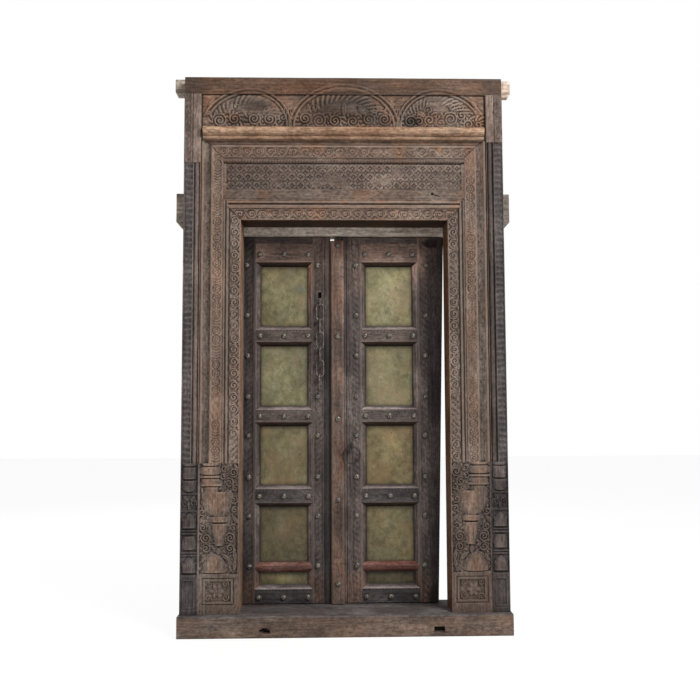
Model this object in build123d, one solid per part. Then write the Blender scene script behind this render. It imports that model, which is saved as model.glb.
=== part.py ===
# Carved two-leaf door in its timber surround: sill, jambs, head, frieze and pivot-hung leaves.
# Millimetres, +Z up. X runs along the door, and Y = 0 is the plane of the jambs' carved face.
# -Y is the front, and the leaves open towards +Y. Z = 0 is the underside of the sill.
import os
from math import cos, degrees, pi, radians, sin, sqrt

from build123d import *

# Doorway
opening_half_width = 449.0
opening_height = 1674.0
frame_depth = 150.0

# Sill
sill_height = 90.0
sill_half_length = 700.0
sill_nose = 40.0
sill_depth = 290.0
sill_arris = 8.0
slot_length = 44.0
slot_height = 15.0
slot_depth = 30.0
slot_x = 390.0
slot_z = 33.0
split_length = 50.0
split_height = 17.0
split_depth = 22.0
split_x = -338.0

# Jambs, with their bands counted outwards from the doorway's edge
inner_band_width = 56.0
inner_moulding_width = 20.0
middle_band_width = 54.0
outer_moulding_width = 43.0
band_margin = 5.0
band_recess = 6.0
groove_width = 7.0
groove_depth = 9.0
jamb_base_height = 626.0
tenon_width = 70.0
tenon_depth = 50.0
tenon_length = 40.0
tenon_clearance = 0.3

# Pilasters and the carved blocks on top of them
pilaster_width = 73.0
pilaster_proud = 4.0
pilaster_roll_radius = 12.5
pilaster_margin = 4.0
pilaster_recess = 6.0
left_pilaster_height = 1924.0
right_pilaster_height = 2018.0
capital_proud = 8.0
capital_margin = 10.0
capital_recess = 6.0

# Head, stacked upwards from the doorway's soffit
lintel_height = 88.0
lattice_height = 160.0
lattice_depth = 60.0
lattice_fillet_height = 45.0
lattice_margin = 12.0
lattice_recess = 9.0
head_height = 103.0
head_depth = 80.0
cove_height = 27.0
cove_depth = 14.0
cornice_height = 58.0
cornice_nose = 32.0
cornice_fillet_height = 18.0
cornice_fillet_nose = 14.0
cornice_depth = 58.0
cornice_end_gap = 10.0
frieze_height = 148.0
frieze_recess = 8.0
top_rail_height = 79.0
top_rail_chamfer = 6.0

# Beams behind the surround
top_beam_height = 60.0
top_beam_foot = 31.0
top_beam_depth = 78.0
top_beam_half_length = 747.0
tie_plank_height = 16.0
tie_plank_depth = 36.0
tie_plank_half_length = 745.0
tie_plank_slope = 8.0
pivot_beam_height = 192.0
pivot_beam_drop = 36.0
pivot_beam_depth = 100.0
pivot_beam_half_length = 754.0
pivot_beam_chamfer = 60.0

# Leaves
meeting_x = -53.0
meeting_gap = 20.0
right_edge_lap = 5.0
left_edge_lap = 70.0
leaf_taper = 38.0
leaf_setback = 28.0
leaf_floor_gap = 4.0
leaf_head_gap = 4.0
stile_thickness = 28.0
board_thickness = 30.0
edge_strip_width = 27.0
hanging_stile_width = 93.0
left_meeting_stile_width = 77.0
right_meeting_stile_width = 118.0
bevel_width = 25.0
rail_bevel_height = 18.0
bevel_foot = 4.0
brass_thickness = 1.5
bar_setback = 3.0
pin_radius = 14.0
pin_inset = 52.0
pin_clearance = 0.4
top_pin_length = 40.0
bottom_pin_length = 34.0
pin_seat_gap = 0.3

# Edges of the leaves' rails above the top of the sill, where the brass starts and stops
bottom_rail_top = 82.0
bar_bottom = 134.0
bar_height = 46.0
lower_rail_bottom = 422.0
lower_rail_top = 519.0
middle_rail_bottom = 780.0
middle_rail_top = 870.0
upper_rail_bottom = 1140.0
upper_rail_top = 1231.0
leaf_top_rail_bottom = 1503.0

# Studs, with their heights above the top of the sill
stud_radius = 12.5
stud_height = 10.0
stud_crown_radius = 6.0
stud_sides = 6
stile_stud_heights = [165.0, 384.0, 555.0, 739.0, 912.0, 1096.0, 1278.0, 1507.0]
stud_lean = 18.0
left_meeting_stud_inset = 55.0
right_meeting_stud_inset = 98.0
hanging_stud_inset = 30.0
rail_stud_inset = 4.0
top_rail_stud_drop = 77.0
bottom_rail_stud_height = 29.0

# Astragal, the cover strip on the right leaf's meeting edge
astragal_width = 60.5
astragal_lap = 15.5
astragal_thickness = 21.0
astragal_chamfer = 6.0
astragal_end_gap = 18.0
astragal_stud_heights = [90.0, 455.0, 813.0, 1182.0, 1592.0]
astragal_stud_inset = 30.5

# Chain on the left leaf
link_wire = 9.0
link_chamfer = 2.6
link_length = 64.0
link_width = 22.0
link_corner = 5.0
link_count = 6
link_play = 0.7
last_link_turn = 12.0
chain_x = -108.0
chain_top_height = 1331.0
chain_standoff = 24.5
keyhole_width = 13.0
keyhole_height = 22.0
keyhole_depth = 18.0
keyhole_rise = 28.0

# Pull ring on the right leaf
ring_x = 33.0
ring_top_height = 692.0
ring_radius = 40.0
ring_wire = 8.0
ring_chamfer = 2.3
ring_sides = 16
ring_standoff = 28.0
ring_play = 0.7
staple_wire = 7.0

# Carving
carving_height = 8.0
carving_root = 2.0
round_steps = 8
inner_motif_pitch = 51.0
middle_motif_pitch = 73.0
pilaster_motif_pitch = 38.0
lattice_pitch = 46.0
lattice_rows = 3
base_relief = 10.0
base_ground = 7.0
plinth_margin = 14.0
plinth_recess = 5.0
arch_band_width = 22.0
arch_relief = 8.0
scroll_relief = 7.0
scroll_radius = 34.0
overrun = 5.0

# Places worked out from the sizes above
jamb_width = inner_band_width + inner_moulding_width + middle_band_width + outer_moulding_width
jamb_outer = opening_half_width + jamb_width
frame_half_width = jamb_outer + pilaster_width
upper_corner_x = opening_half_width + inner_band_width + inner_moulding_width
soffit_z = sill_height + opening_height
lintel_top = soffit_z + lintel_height
lattice_top = lintel_top + lattice_height
upper_corner_z = lattice_top + cove_height
head_top = lattice_top + head_height
cornice_top = head_top + cornice_height
frieze_top = cornice_top + frieze_height
surround_top = frieze_top + top_rail_height
base_top = sill_height + jamb_base_height
leaf_front = frame_depth + leaf_setback
board_front = leaf_front + stile_thickness
leaf_back = board_front + board_thickness
leaf_bottom = sill_height + leaf_floor_gap
pivot_beam_bottom = soffit_z - pivot_beam_drop
leaf_top = pivot_beam_bottom - leaf_head_gap
pivot_y = board_front + board_thickness / 2
left_meeting_edge = meeting_x - meeting_gap / 2
right_meeting_edge = meeting_x + meeting_gap / 2
left_pivot_x = -(opening_half_width + left_edge_lap - pin_inset)
right_pivot_x = opening_half_width + right_edge_lap - pin_inset


def block(x0, x1, y0, y1, z0, z1):
    """A box between two corners."""
    corner = Pos((x0 + x1) / 2, (y0 + y1) / 2, (z0 + z1) / 2)
    return corner * Box(x1 - x0, y1 - y0, z1 - z0)


def plate(outline, y0, y1):
    """An (x, z) outline carried from y0 back to y1."""
    face = Face(Wire.make_polygon([(x, y0, z) for x, z in outline]))
    return extrude(face, amount=y1 - y0, dir=(0, 1, 0))


def rail(outline, x0, x1):
    """A (y, z) outline carried from x0 to x1."""
    face = Face(Wire.make_polygon([(x0, y, z) for y, z in outline]))
    return extrude(face, amount=x1 - x0, dir=(1, 0, 0))


def post(outline, z0, z1):
    """An (x, y) outline carried up from z0 to z1."""
    face = Face(Wire.make_polygon([(x, y, z0) for x, y in outline]))
    return extrude(face, amount=z1 - z0, dir=(0, 0, 1))


def upright_round(x, y, radius, z0, z1):
    """A round pin, or the round bore for one."""
    return Pos(x, y, (z0 + z1) / 2) * Cylinder(radius, z1 - z0)


def on_side(outline, side):
    """A right-hand (x, z) outline on the side asked for: -1 is left, 1 is right."""
    return [(side * x, z) for x, z in outline]


def one_solid(shape):
    """The single solid that a cut or a join has left."""
    return shape.solids()[0]


# Chip carving: pyramids and raised forms rooted in the ground that they stand on

def peak(outline, ground, height):
    """A pyramid over an (x, z) outline, rising to the front from the plane y = ground."""
    root = ground + carving_root
    base = [Vector(x, root, z) for x, z in outline]
    tip = sum(base, Vector()) / len(base) - Vector(0, carving_root + height, 0)
    slopes = [Face(Wire.make_polygon([a, b, tip])) for a, b in zip(base, base[1:] + base[:1])]
    return Solid(Shell([Face(Wire.make_polygon(base)), *slopes]))


def ring_of(x, z, radius, sides, turn=0):
    """The corners of a regular polygon, turned by an angle in degrees."""
    angles = [radians(turn) + 2 * pi * k / sides for k in range(sides)]
    return [(x + radius * cos(a), z + radius * sin(a)) for a in angles]


def leaf_chip(x, z, half_length, half_width, turn):
    """A leaf pointed at both ends, turned by an angle in degrees from +X."""
    c = cos(radians(turn))
    s = sin(radians(turn))
    reach = [(half_length, 0), (0, half_width), (-half_length, 0), (0, -half_width)]
    return [(x + u * c - v * s, z + u * s + v * c) for u, v in reach]


def spaced(start, stop, pitch):
    """The middles of the whole steps that fit between two places."""
    count = max(1, round((stop - start) / pitch))
    step = (stop - start) / count
    return [start + step / 2 + step * k for k in range(count)]


rosette_sides = 6
rosette_every = 5
rosette_share = 0.38
leaf_length_share = 0.30
leaf_width_share = 0.13
leaf_spread_share = 0.21
berry_width_share = 0.26
leaf_turn = 40.0
quarter_turn = 90.0


def leaf_motifs(start, stop, width, ground, place, turned):
    """Pairs of slanting leaves along a band, with a rosette every few steps."""
    motifs = []
    for k, along in enumerate(spaced(start, stop, inner_motif_pitch)):
        if k % rosette_every == 0:
            outline = ring_of(*place(along, 0), width * rosette_share, rosette_sides)
            motifs.append(peak(outline, ground, carving_height))
            continue
        for hand in (-1, 1):
            middle = place(along, hand * width * leaf_spread_share)
            half_length = width * leaf_length_share
            outline = leaf_chip(*middle, half_length, width * leaf_width_share, turned(hand * leaf_turn))
            motifs.append(peak(outline, ground, carving_height))
    return motifs


def rosette_motifs(start, stop, width, ground, place, turned):
    """Rosettes along a band, with a leaf lying across it between each two."""
    places = spaced(start, stop, middle_motif_pitch)
    motifs = []
    for along in places:
        outline = ring_of(*place(along, 0), width * rosette_share, rosette_sides, turned(0))
        motifs.append(peak(outline, ground, carving_height))
    for before, after in zip(places, places[1:]):
        middle = place((before + after) / 2, 0)
        half_length = width * rosette_share
        outline = leaf_chip(*middle, half_length, width * berry_width_share, turned(quarter_turn))
        motifs.append(peak(outline, ground, carving_height))
    return motifs


def up_band(side, middle):
    """Places and turns along an upright band, whose middle is that far from the door's middle."""
    return lambda along, across: (side * (middle + across), along), lambda turn: quarter_turn + side * turn


def level_band(middle):
    """Places and turns along a level band at that height."""
    return lambda along, across: (along, middle + across), lambda turn: turn


# Carved foot of a jamb: shares of its height and of its half width, going up
mound_shares = [(0.275, 0.80), (0.33, 0.76), (0.37, 0.56), (0.40, 0.20)]
stem_shares = [(0.471, 0.22), (0.60, 0.31), (0.612, 0.27), (0.638, 0.27)]
bowl_shares = [(0.645, 0.22), (0.66, 0.50), (0.70, 0.78), (0.74, 0.88), (0.79, 0.86)]
neck_shares = [(0.797, 0.50), (0.812, 0.50), (0.818, 0.40), (0.88, 0.40), (0.888, 0.52), (0.906, 0.52)]
cushion_shares = [(0.914, 0.42), (0.945, 0.52), (0.97, 0.42)]
cup_shares = [(0.976, 0.40), (0.99, 0.52)]
jamb_foot_shares = [mound_shares, stem_shares, bowl_shares]
jamb_side_shares = [neck_shares, cushion_shares, cup_shares]
jamb_lean_share = 0.46
# Carved foot of a pilaster, likewise
low_dome_shares = [(0.284, 0.95), (0.33, 0.86), (0.36, 0.55), (0.374, 0.20)]
low_drum_shares = [(0.431, 0.80), (0.445, 0.95), (0.49, 0.92), (0.511, 0.70)]
high_dome_shares = [(0.572, 0.95), (0.62, 0.86), (0.65, 0.50), (0.663, 0.20)]
bud_shares = [(0.74, 0.20), (0.77, 0.70), (0.80, 0.20)]
small_bowl_shares = [(0.81, 0.40), (0.83, 0.78), (0.888, 0.96)]
high_drum_shares = [(0.898, 0.80), (0.934, 0.96), (0.97, 0.84)]
small_cup_shares = [(0.976, 0.72), (0.99, 0.96)]
dome_forms_shares = [low_dome_shares, low_drum_shares, high_dome_shares, bud_shares]
pilaster_foot_shares = dome_forms_shares + [small_bowl_shares, high_drum_shares, small_cup_shares]
plinth_share = 0.255
curl_height_shares = [0.428, 0.51]
curl_place_share = 0.62
curl_radius_share = 0.24
curl_sides = 8


def foot_ground(side, middle, width, face):
    """The recess that the foot's forms stand in, above its plinth, and the sunk panel of the plinth."""
    half = width / 2 - band_margin
    plinth_top = sill_height + jamb_base_height * plinth_share
    x0, x1 = sorted((side * (middle - half), side * (middle + half)))
    forms = block(x0, x1, face - overrun, face + base_ground, plinth_top, base_top - band_margin)
    foot = sill_height + plinth_margin
    panel = block(
        x0 + plinth_margin - band_margin,
        x1 - plinth_margin + band_margin,
        face - overrun,
        face + plinth_recess,
        foot,
        plinth_top - plinth_margin,
    )
    return [forms, panel]


def foot_forms(side, middle, half, face, forms_shares):
    """Plates in the outlines of turned forms, stacked up the foot about one middle line."""
    ground = face + base_ground
    forms = []
    for shares in forms_shares:
        right = [(middle + w * half, sill_height + h * jamb_base_height) for h, w in shares]
        left = [(middle - w * half, z) for (h, w), (x, z) in zip(shares, right)]
        forms.append(plate(on_side(right + left[::-1], side), ground - base_relief, ground + carving_root))
    return forms


def foot_boss(side, middle, half, face):
    """The pointed boss in the sunk panel of a plinth."""
    plinth_height = jamb_base_height * plinth_share
    boss_middle = sill_height + plinth_height / 2
    boss_radius = min(half, plinth_height / 2) - plinth_margin
    boss = ring_of(side * middle, boss_middle, boss_radius, 4, quarter_turn / 2)
    return peak(boss, face + plinth_recess, plinth_recess)


def jamb_foot(side, middle):
    """Mound, stem and bowl, the neck, cushion and cup beside the foliage, curls by the stem, and the boss."""
    half = jamb_width / 2 - band_margin
    motifs = foot_forms(side, middle, half, 0, jamb_foot_shares)
    motifs += foot_forms(side, middle + jamb_lean_share * half, half, 0, jamb_side_shares)
    for hand in (-1, 1):
        x = side * (middle + hand * curl_place_share * half)
        for share in curl_height_shares:
            z = sill_height + share * jamb_base_height
            motifs.append(peak(ring_of(x, z, curl_radius_share * half, curl_sides), base_ground, base_relief))
    return motifs + [foot_boss(side, middle, half, 0)]


def pilaster_foot(side, middle):
    """Domes, drums, a bud, a bowl and a cup, and the plinth's boss."""
    half = pilaster_width / 2 - band_margin
    forms = foot_forms(side, middle, half, -pilaster_proud, pilaster_foot_shares)
    return forms + [foot_boss(side, middle, half, -pilaster_proud)]


def carved(solid, sunk, raised):
    """A solid with its recesses cut and its raised work joined on."""
    return one_solid(solid.cut(*sunk).fuse(*raised).clean())


# Surround

def make_sill():
    """A heavy timber with a rounded nose, a slot, a split, and the pivots' and tenons' holes."""
    back = sill_depth - sill_nose
    nose = [(-sill_nose, 0), (back, 0), (back, sill_height)]
    nose += [(sill_arris - sill_nose, sill_height), (-sill_nose, sill_height - sill_arris)]
    timber = rail(nose, -sill_half_length, sill_half_length)
    half_slot = slot_length / 2
    slot = block(
        slot_x - half_slot,
        slot_x + half_slot,
        -sill_nose - overrun,
        slot_depth - sill_nose,
        slot_z - slot_height / 2,
        slot_z + slot_height / 2,
    )
    half_split = split_length / 2
    split_outline = [
        (split_x - half_split, slot_z),
        (split_x + half_split, slot_z - split_height / 2),
        (split_x + half_split / 2, slot_z + split_height / 2),
    ]
    split = plate(split_outline, -sill_nose - overrun, split_depth - sill_nose)
    seat = sill_height + leaf_floor_gap - bottom_pin_length - pin_seat_gap
    bore = pin_radius + pin_clearance
    mouth = sill_height + overrun
    holes = [upright_round(x, pivot_y, bore, seat, mouth) for x in (left_pivot_x, right_pivot_x)]
    holes += [tenon(side, tenon_clearance) for side in (-1, 1)]
    return one_solid(timber.cut(slot, split, *holes))


def tenon(side, clearance):
    """The foot tenon of a jamb, or the mortise for it when it is given a clearance."""
    middle = side * (opening_half_width + jamb_width / 2)
    half_width = tenon_width / 2 + clearance
    half_depth = tenon_depth / 2 + clearance
    return block(
        middle - half_width,
        middle + half_width,
        frame_depth / 2 - half_depth,
        frame_depth / 2 + half_depth,
        sill_height - tenon_length - clearance,
        sill_height,
    )


def jamb_strip(side, near, far, corner_x, corner_z, foot, depth):
    """A sunk strip up a jamb, mitred where it turns the corner, between two distances from that corner."""
    outline = [(corner_x + near, foot), (corner_x + far, foot)]
    outline += [(corner_x + far, corner_z + far), (corner_x + near, corner_z + near)]
    return plate(on_side(outline, side), -overrun, depth)


def head_strip(near, far, corner_x, corner_z, depth):
    """The same strip across the head, between its two mitres."""
    right = [(corner_x + near, corner_z + near), (corner_x + far, corner_z + far)]
    left = [(-x, z) for x, z in reversed(right)]
    return plate(right + left, -overrun, depth)


def make_jamb(side):
    """A jamb: two carved bands between mouldings, mitred to the head at the top, on a carved foot."""
    lower_end = opening_half_width + inner_band_width
    outline = [
        (opening_half_width, sill_height),
        (jamb_outer, sill_height),
        (jamb_outer, head_top),
        (upper_corner_x + head_top - upper_corner_z, head_top),
        (upper_corner_x, upper_corner_z),
        (upper_corner_x, lintel_top),
        (lower_end, lintel_top),
        (lower_end, soffit_z + inner_band_width),
        (opening_half_width, soffit_z),
    ]
    timber = plate(on_side(outline, side), 0, frame_depth)
    inner_far = inner_band_width - band_margin
    middle_far = middle_band_width - band_margin
    sunk = [
        jamb_strip(side, band_margin, inner_far, opening_half_width, soffit_z, base_top, band_recess),
        jamb_strip(side, band_margin, middle_far, upper_corner_x, upper_corner_z, base_top, band_recess),
    ]
    groove_middle = opening_half_width + inner_band_width + inner_moulding_width / 2
    outer_start = upper_corner_x + middle_band_width
    outer_grooves = [outer_start + groove_width, jamb_outer - groove_width * 2]
    for x in [groove_middle - groove_width / 2, *outer_grooves]:
        top = lintel_top if x < outer_start else head_top
        strip = [(x, base_top), (x + groove_width, base_top), (x + groove_width, top), (x, top)]
        sunk.append(plate(on_side(strip, side), -overrun, groove_depth))
    middle = opening_half_width + jamb_width / 2
    sunk += foot_ground(side, middle, jamb_width, 0)
    raised = jamb_foot(side, middle)
    place, turned = up_band(side, opening_half_width + inner_band_width / 2)
    width = inner_band_width - band_margin * 2
    raised += leaf_motifs(base_top, soffit_z, width, band_recess, place, turned)
    place, turned = up_band(side, upper_corner_x + middle_band_width / 2)
    width = middle_band_width - band_margin * 2
    raised += rosette_motifs(base_top, upper_corner_z, width, band_recess, place, turned)
    return carved(timber.fuse(tenon(side, 0)), sunk, raised)


def make_pilaster(side, height):
    """A slim post beside the jamb: a half-round roll and a strip of cross leaves, on a carved foot."""
    top = sill_height + height
    x0, x1 = sorted((side * jamb_outer, side * frame_half_width))
    timber = block(x0, x1, -pilaster_proud, frame_depth, sill_height, top)
    roll_middle = jamb_outer + pilaster_margin + pilaster_roll_radius
    strip_start = roll_middle + pilaster_roll_radius
    ground = pilaster_recess - pilaster_proud
    channel_x = sorted((side * (jamb_outer + pilaster_margin), side * strip_start))
    roll_y = pilaster_roll_radius - pilaster_proud
    channel = block(*channel_x, -pilaster_proud - overrun, roll_y, base_top, top)
    roll = upright_round(side * roll_middle, roll_y, pilaster_roll_radius, base_top, top)
    strip_x = sorted((side * (strip_start + pilaster_margin), side * (frame_half_width - pilaster_margin)))
    strip = block(*strip_x, -pilaster_proud - overrun, ground, base_top, top)
    middle = jamb_outer + pilaster_width / 2
    sunk = [channel, strip, *foot_ground(side, middle, pilaster_width, -pilaster_proud)]
    raised = [roll, *pilaster_foot(side, middle)]
    strip_width = strip_x[1] - strip_x[0]
    for z in spaced(base_top, top, pilaster_motif_pitch):
        x = sum(strip_x) / 2
        outline = leaf_chip(x, z, strip_width * rosette_share, strip_width * leaf_length_share, 0)
        raised.append(peak(outline, ground, carving_height))
    return carved(timber, sunk, raised)


def make_capital(side, foot):
    """The block above a pilaster, with leaves in a sunk panel."""
    x0, x1 = sorted((side * jamb_outer, side * frame_half_width))
    timber = block(x0, x1, -capital_proud, frame_depth, foot, frieze_top)
    ground = capital_recess - capital_proud
    panel_x = (x0 + capital_margin, x1 - capital_margin)
    panel_z = (foot + capital_margin, frieze_top - capital_margin)
    panel = block(*panel_x, -capital_proud - overrun, ground, *panel_z)
    width = pilaster_width - capital_margin * 2
    place, turned = up_band(side, jamb_outer + pilaster_width / 2)
    leaves = leaf_motifs(*panel_z, width, ground, place, turned)
    return carved(timber, [panel], leaves)


def make_lintel():
    """The piece over the doorway, mitred to the jambs, with the inner band carried across it."""
    end = opening_half_width + inner_band_width
    right = [(opening_half_width, soffit_z), (end, soffit_z + inner_band_width), (end, lintel_top)]
    timber = plate(right + [(-x, z) for x, z in reversed(right)], 0, frame_depth)
    far = inner_band_width - band_margin
    groove_z = (soffit_z + inner_band_width + lintel_top - groove_width) / 2
    groove = block(-end, end, -overrun, groove_depth, groove_z, groove_z + groove_width)
    sunk = [head_strip(band_margin, far, opening_half_width, soffit_z, band_recess), groove]
    place, turned = level_band(soffit_z + inner_band_width / 2)
    width = inner_band_width - band_margin * 2
    raised = leaf_motifs(-opening_half_width, opening_half_width, width, band_recess, place, turned)
    return carved(timber, sunk, raised)


def make_lattice_panel():
    """The panel of small four-leaved flowers, above a plain fillet."""
    board = block(-upper_corner_x, upper_corner_x, 0, lattice_depth, lintel_top, lattice_top)
    x1 = upper_corner_x - lattice_margin
    z0 = lintel_top + lattice_fillet_height
    field = block(-x1, x1, -overrun, lattice_recess, z0, lattice_top)
    row_height = (lattice_top - z0) / lattice_rows
    flowers = []
    for row in range(lattice_rows):
        z = z0 + row_height / 2 + row_height * row
        for x in spaced(-x1, x1, lattice_pitch):
            outline = ring_of(x, z, row_height * rosette_share, 4)
            flowers.append(peak(outline, lattice_recess, carving_height))
    return carved(board, [field], flowers)


def make_head_architrave():
    """The upper carved band, mitred to the jambs, over a hollow moulding."""
    end = upper_corner_x + head_top - upper_corner_z
    right = [(upper_corner_x, lattice_top), (upper_corner_x, upper_corner_z), (end, head_top)]
    timber = plate(right + [(-x, z) for x, z in reversed(right)], 0, head_depth)
    cove = rail(
        [(-overrun, lattice_top), (cove_depth, lattice_top), (0, upper_corner_z), (-overrun, upper_corner_z)],
        -upper_corner_x,
        upper_corner_x,
    )
    far = middle_band_width - band_margin
    sunk = [cove, head_strip(band_margin, far, upper_corner_x, upper_corner_z, band_recess)]
    place, turned = level_band(upper_corner_z + middle_band_width / 2)
    width = middle_band_width - band_margin * 2
    raised = rosette_motifs(-upper_corner_x, upper_corner_x, width, band_recess, place, turned)
    return carved(timber, sunk, raised)


def make_cornice():
    """A half-round roll over a fillet, running between the two end blocks."""
    back = [(cornice_depth, cornice_top), (cornice_depth, head_top), (-cornice_fillet_nose, head_top)]
    roll_foot = head_top + cornice_fillet_height
    roll_radius = (cornice_top - roll_foot) / 2
    roll_y = roll_radius - cornice_nose
    angles = [-pi / 2 + pi * k / round_steps for k in range(round_steps + 1)]
    roll = [(roll_y - roll_radius * cos(a), roll_foot + roll_radius + roll_radius * sin(a)) for a in angles]
    half = jamb_outer - cornice_end_gap
    return one_solid(rail(back + [(-cornice_fillet_nose, roll_foot)] + roll, -half, half))


# Frieze: three arches, whose crowns run up into the top rail, with scrolls inside them
middle_arch_half_share = 0.36
side_arch_half_share = 0.31
middle_arch_rise_share = 0.93
side_arch_rise_share = 0.80
arch_steps = 14


def arch_bands():
    """The bands of the three arches, before they are shared out between the frieze and the rail."""
    rise = frieze_height + top_rail_height
    middle_half = jamb_outer * middle_arch_half_share
    side_half = jamb_outer * side_arch_half_share
    side_middle = middle_half + side_half - arch_band_width / 2
    bands = []
    for x, half, share in (
        (-side_middle, side_half, side_arch_rise_share),
        (0, middle_half, middle_arch_rise_share),
        (side_middle, side_half, side_arch_rise_share),
    ):
        angles = [pi * k / arch_steps for k in range(arch_steps + 1)]
        height = rise * share - overrun
        outer = [(x + half * cos(a), cornice_top + overrun + height * sin(a)) for a in angles]
        inner_half = half - arch_band_width
        inner_height = height - arch_band_width
        inner = [(x + inner_half * cos(a), cornice_top + overrun + inner_height * sin(a)) for a in angles]
        bands.append(outer + inner[::-1])
    return bands


scroll_steps = 13
scroll_turns_share = 1.4
scroll_eye_share = 0.16
scroll_thickness_share = 0.13
scroll_places_shares = [(0.096, 0.36), (0.226, 0.36), (0.52, 0.36), (0.669, 0.42), (0.817, 0.36)]


def scroll(x, z, radius, hand):
    """A volute: a band that winds in from its rim to its eye."""
    rim = []
    lip = []
    for k in range(scroll_steps + 1):
        done = k / scroll_steps
        a = hand * 2 * pi * scroll_turns_share * done
        r = radius * (1 - done * (1 - scroll_eye_share))
        half = radius * scroll_thickness_share
        rim.append((x + (r + half) * cos(a), z + (r + half) * sin(a)))
        lip.append((x + (r - half) * cos(a), z + (r - half) * sin(a)))
    return rim + lip[::-1]


def make_frieze():
    """The long panel of arches and scrolls over the cornice."""
    board = block(-jamb_outer, jamb_outer, frieze_recess, cornice_depth, cornice_top, frieze_top)
    field = block(-jamb_outer, jamb_outer, -arch_relief, cornice_depth, cornice_top, frieze_top)
    raised = []
    for band in arch_bands():
        raised += (plate(band, frieze_recess - arch_relief, frieze_recess + carving_root) & field).solids()
    for along, up in scroll_places_shares:
        for side in (-1, 1):
            z = cornice_top + up * frieze_height
            outline = scroll(side * along * jamb_outer, z, scroll_radius, side)
            raised.append(plate(outline, frieze_recess - scroll_relief, frieze_recess + carving_root))
    return carved(board, [], raised)


def make_top_rail():
    """The rail over everything, with the crowns of the arches on its face."""
    face = [(0, frieze_top), (cornice_depth, frieze_top), (cornice_depth, surround_top)]
    face += [(top_rail_chamfer, surround_top), (0, surround_top - top_rail_chamfer)]
    board = rail(face, -frame_half_width, frame_half_width)
    field = block(-jamb_outer, jamb_outer, -arch_relief, cornice_depth, frieze_top, surround_top)
    crowns = [plate(band, -arch_relief / 2, carving_root) & field for band in arch_bands()]
    return carved(board, [], [solid for crown in crowns for solid in crown.solids()])


def make_top_beam():
    """The rough beam behind the top rail, whose ends stick out past the surround."""
    foot = frieze_top + top_beam_foot
    back = cornice_depth + top_beam_depth
    half = top_beam_half_length
    return one_solid(block(-half, half, cornice_depth, back, foot, foot + top_beam_height))


def make_tie_plank():
    """The plank under the top beam, with its ends cut on a slope."""
    half = tie_plank_half_length
    top = frieze_top + top_beam_foot
    foot = top - tie_plank_height
    short = half - tie_plank_slope
    outline = [(short, foot), (half, top), (-half, top), (-short, foot)]
    return one_solid(plate(outline, cornice_depth, cornice_depth + tie_plank_depth))


def make_pivot_beam():
    """The beam behind the lintel that holds the top pins, with its lower corners cut away."""
    half = pivot_beam_half_length
    foot = pivot_beam_bottom
    top = foot + pivot_beam_height
    short = half - pivot_beam_chamfer
    shoulder = foot + pivot_beam_chamfer
    outline = [(-short, foot), (short, foot), (half, shoulder), (half, top), (-half, top), (-half, shoulder)]
    timber = plate(outline, frame_depth, frame_depth + pivot_beam_depth)
    seat = leaf_top + top_pin_length + pin_seat_gap
    bore = pin_radius + pin_clearance
    holes = [upright_round(x, pivot_y, bore, foot - overrun, seat) for x in (left_pivot_x, right_pivot_x)]
    return one_solid(timber.cut(*holes))


# Leaves: u is the distance from a leaf's meeting edge towards the edge that it hangs on

def rail_rows():
    """Each rail's foot and head, and whether those edges are bevelled down to the brass."""
    return {
        "bottom_rail": (leaf_bottom, sill_height + bottom_rail_top, False, True),
        "lower_rail": (sill_height + lower_rail_bottom, sill_height + lower_rail_top, True, True),
        "middle_rail": (sill_height + middle_rail_bottom, sill_height + middle_rail_top, True, True),
        "upper_rail": (sill_height + upper_rail_bottom, sill_height + upper_rail_top, True, True),
        "top_rail": (sill_height + leaf_top_rail_bottom, leaf_top, True, False),
    }


def brass_rows():
    """The foot and head of each brass sheet, from the top one down."""
    edges = [
        (upper_rail_top, leaf_top_rail_bottom),
        (middle_rail_top, upper_rail_bottom),
        (lower_rail_top, middle_rail_bottom),
        (bar_bottom + bar_height, lower_rail_bottom),
        (bottom_rail_top, bar_bottom),
    ]
    return [(sill_height + z0, sill_height + z1) for z0, z1 in edges]


def stud(x, z, front):
    """A domed nail head, drawn as a faceted cap with its rim on the face that it is driven into."""
    rim = [Vector(a, front, b) for a, b in ring_of(x, z, stud_radius, stud_sides)]
    crown = [Vector(a, front - stud_height, b) for a, b in ring_of(x, z, stud_crown_radius, stud_sides)]
    corners = [rim, rim[1:] + rim[:1], crown[1:] + crown[:1], crown]
    facets = [Face(Wire.make_polygon(facet)) for facet in [rim, crown, *zip(*corners)]]
    return Solid(Shell(facets))


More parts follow.
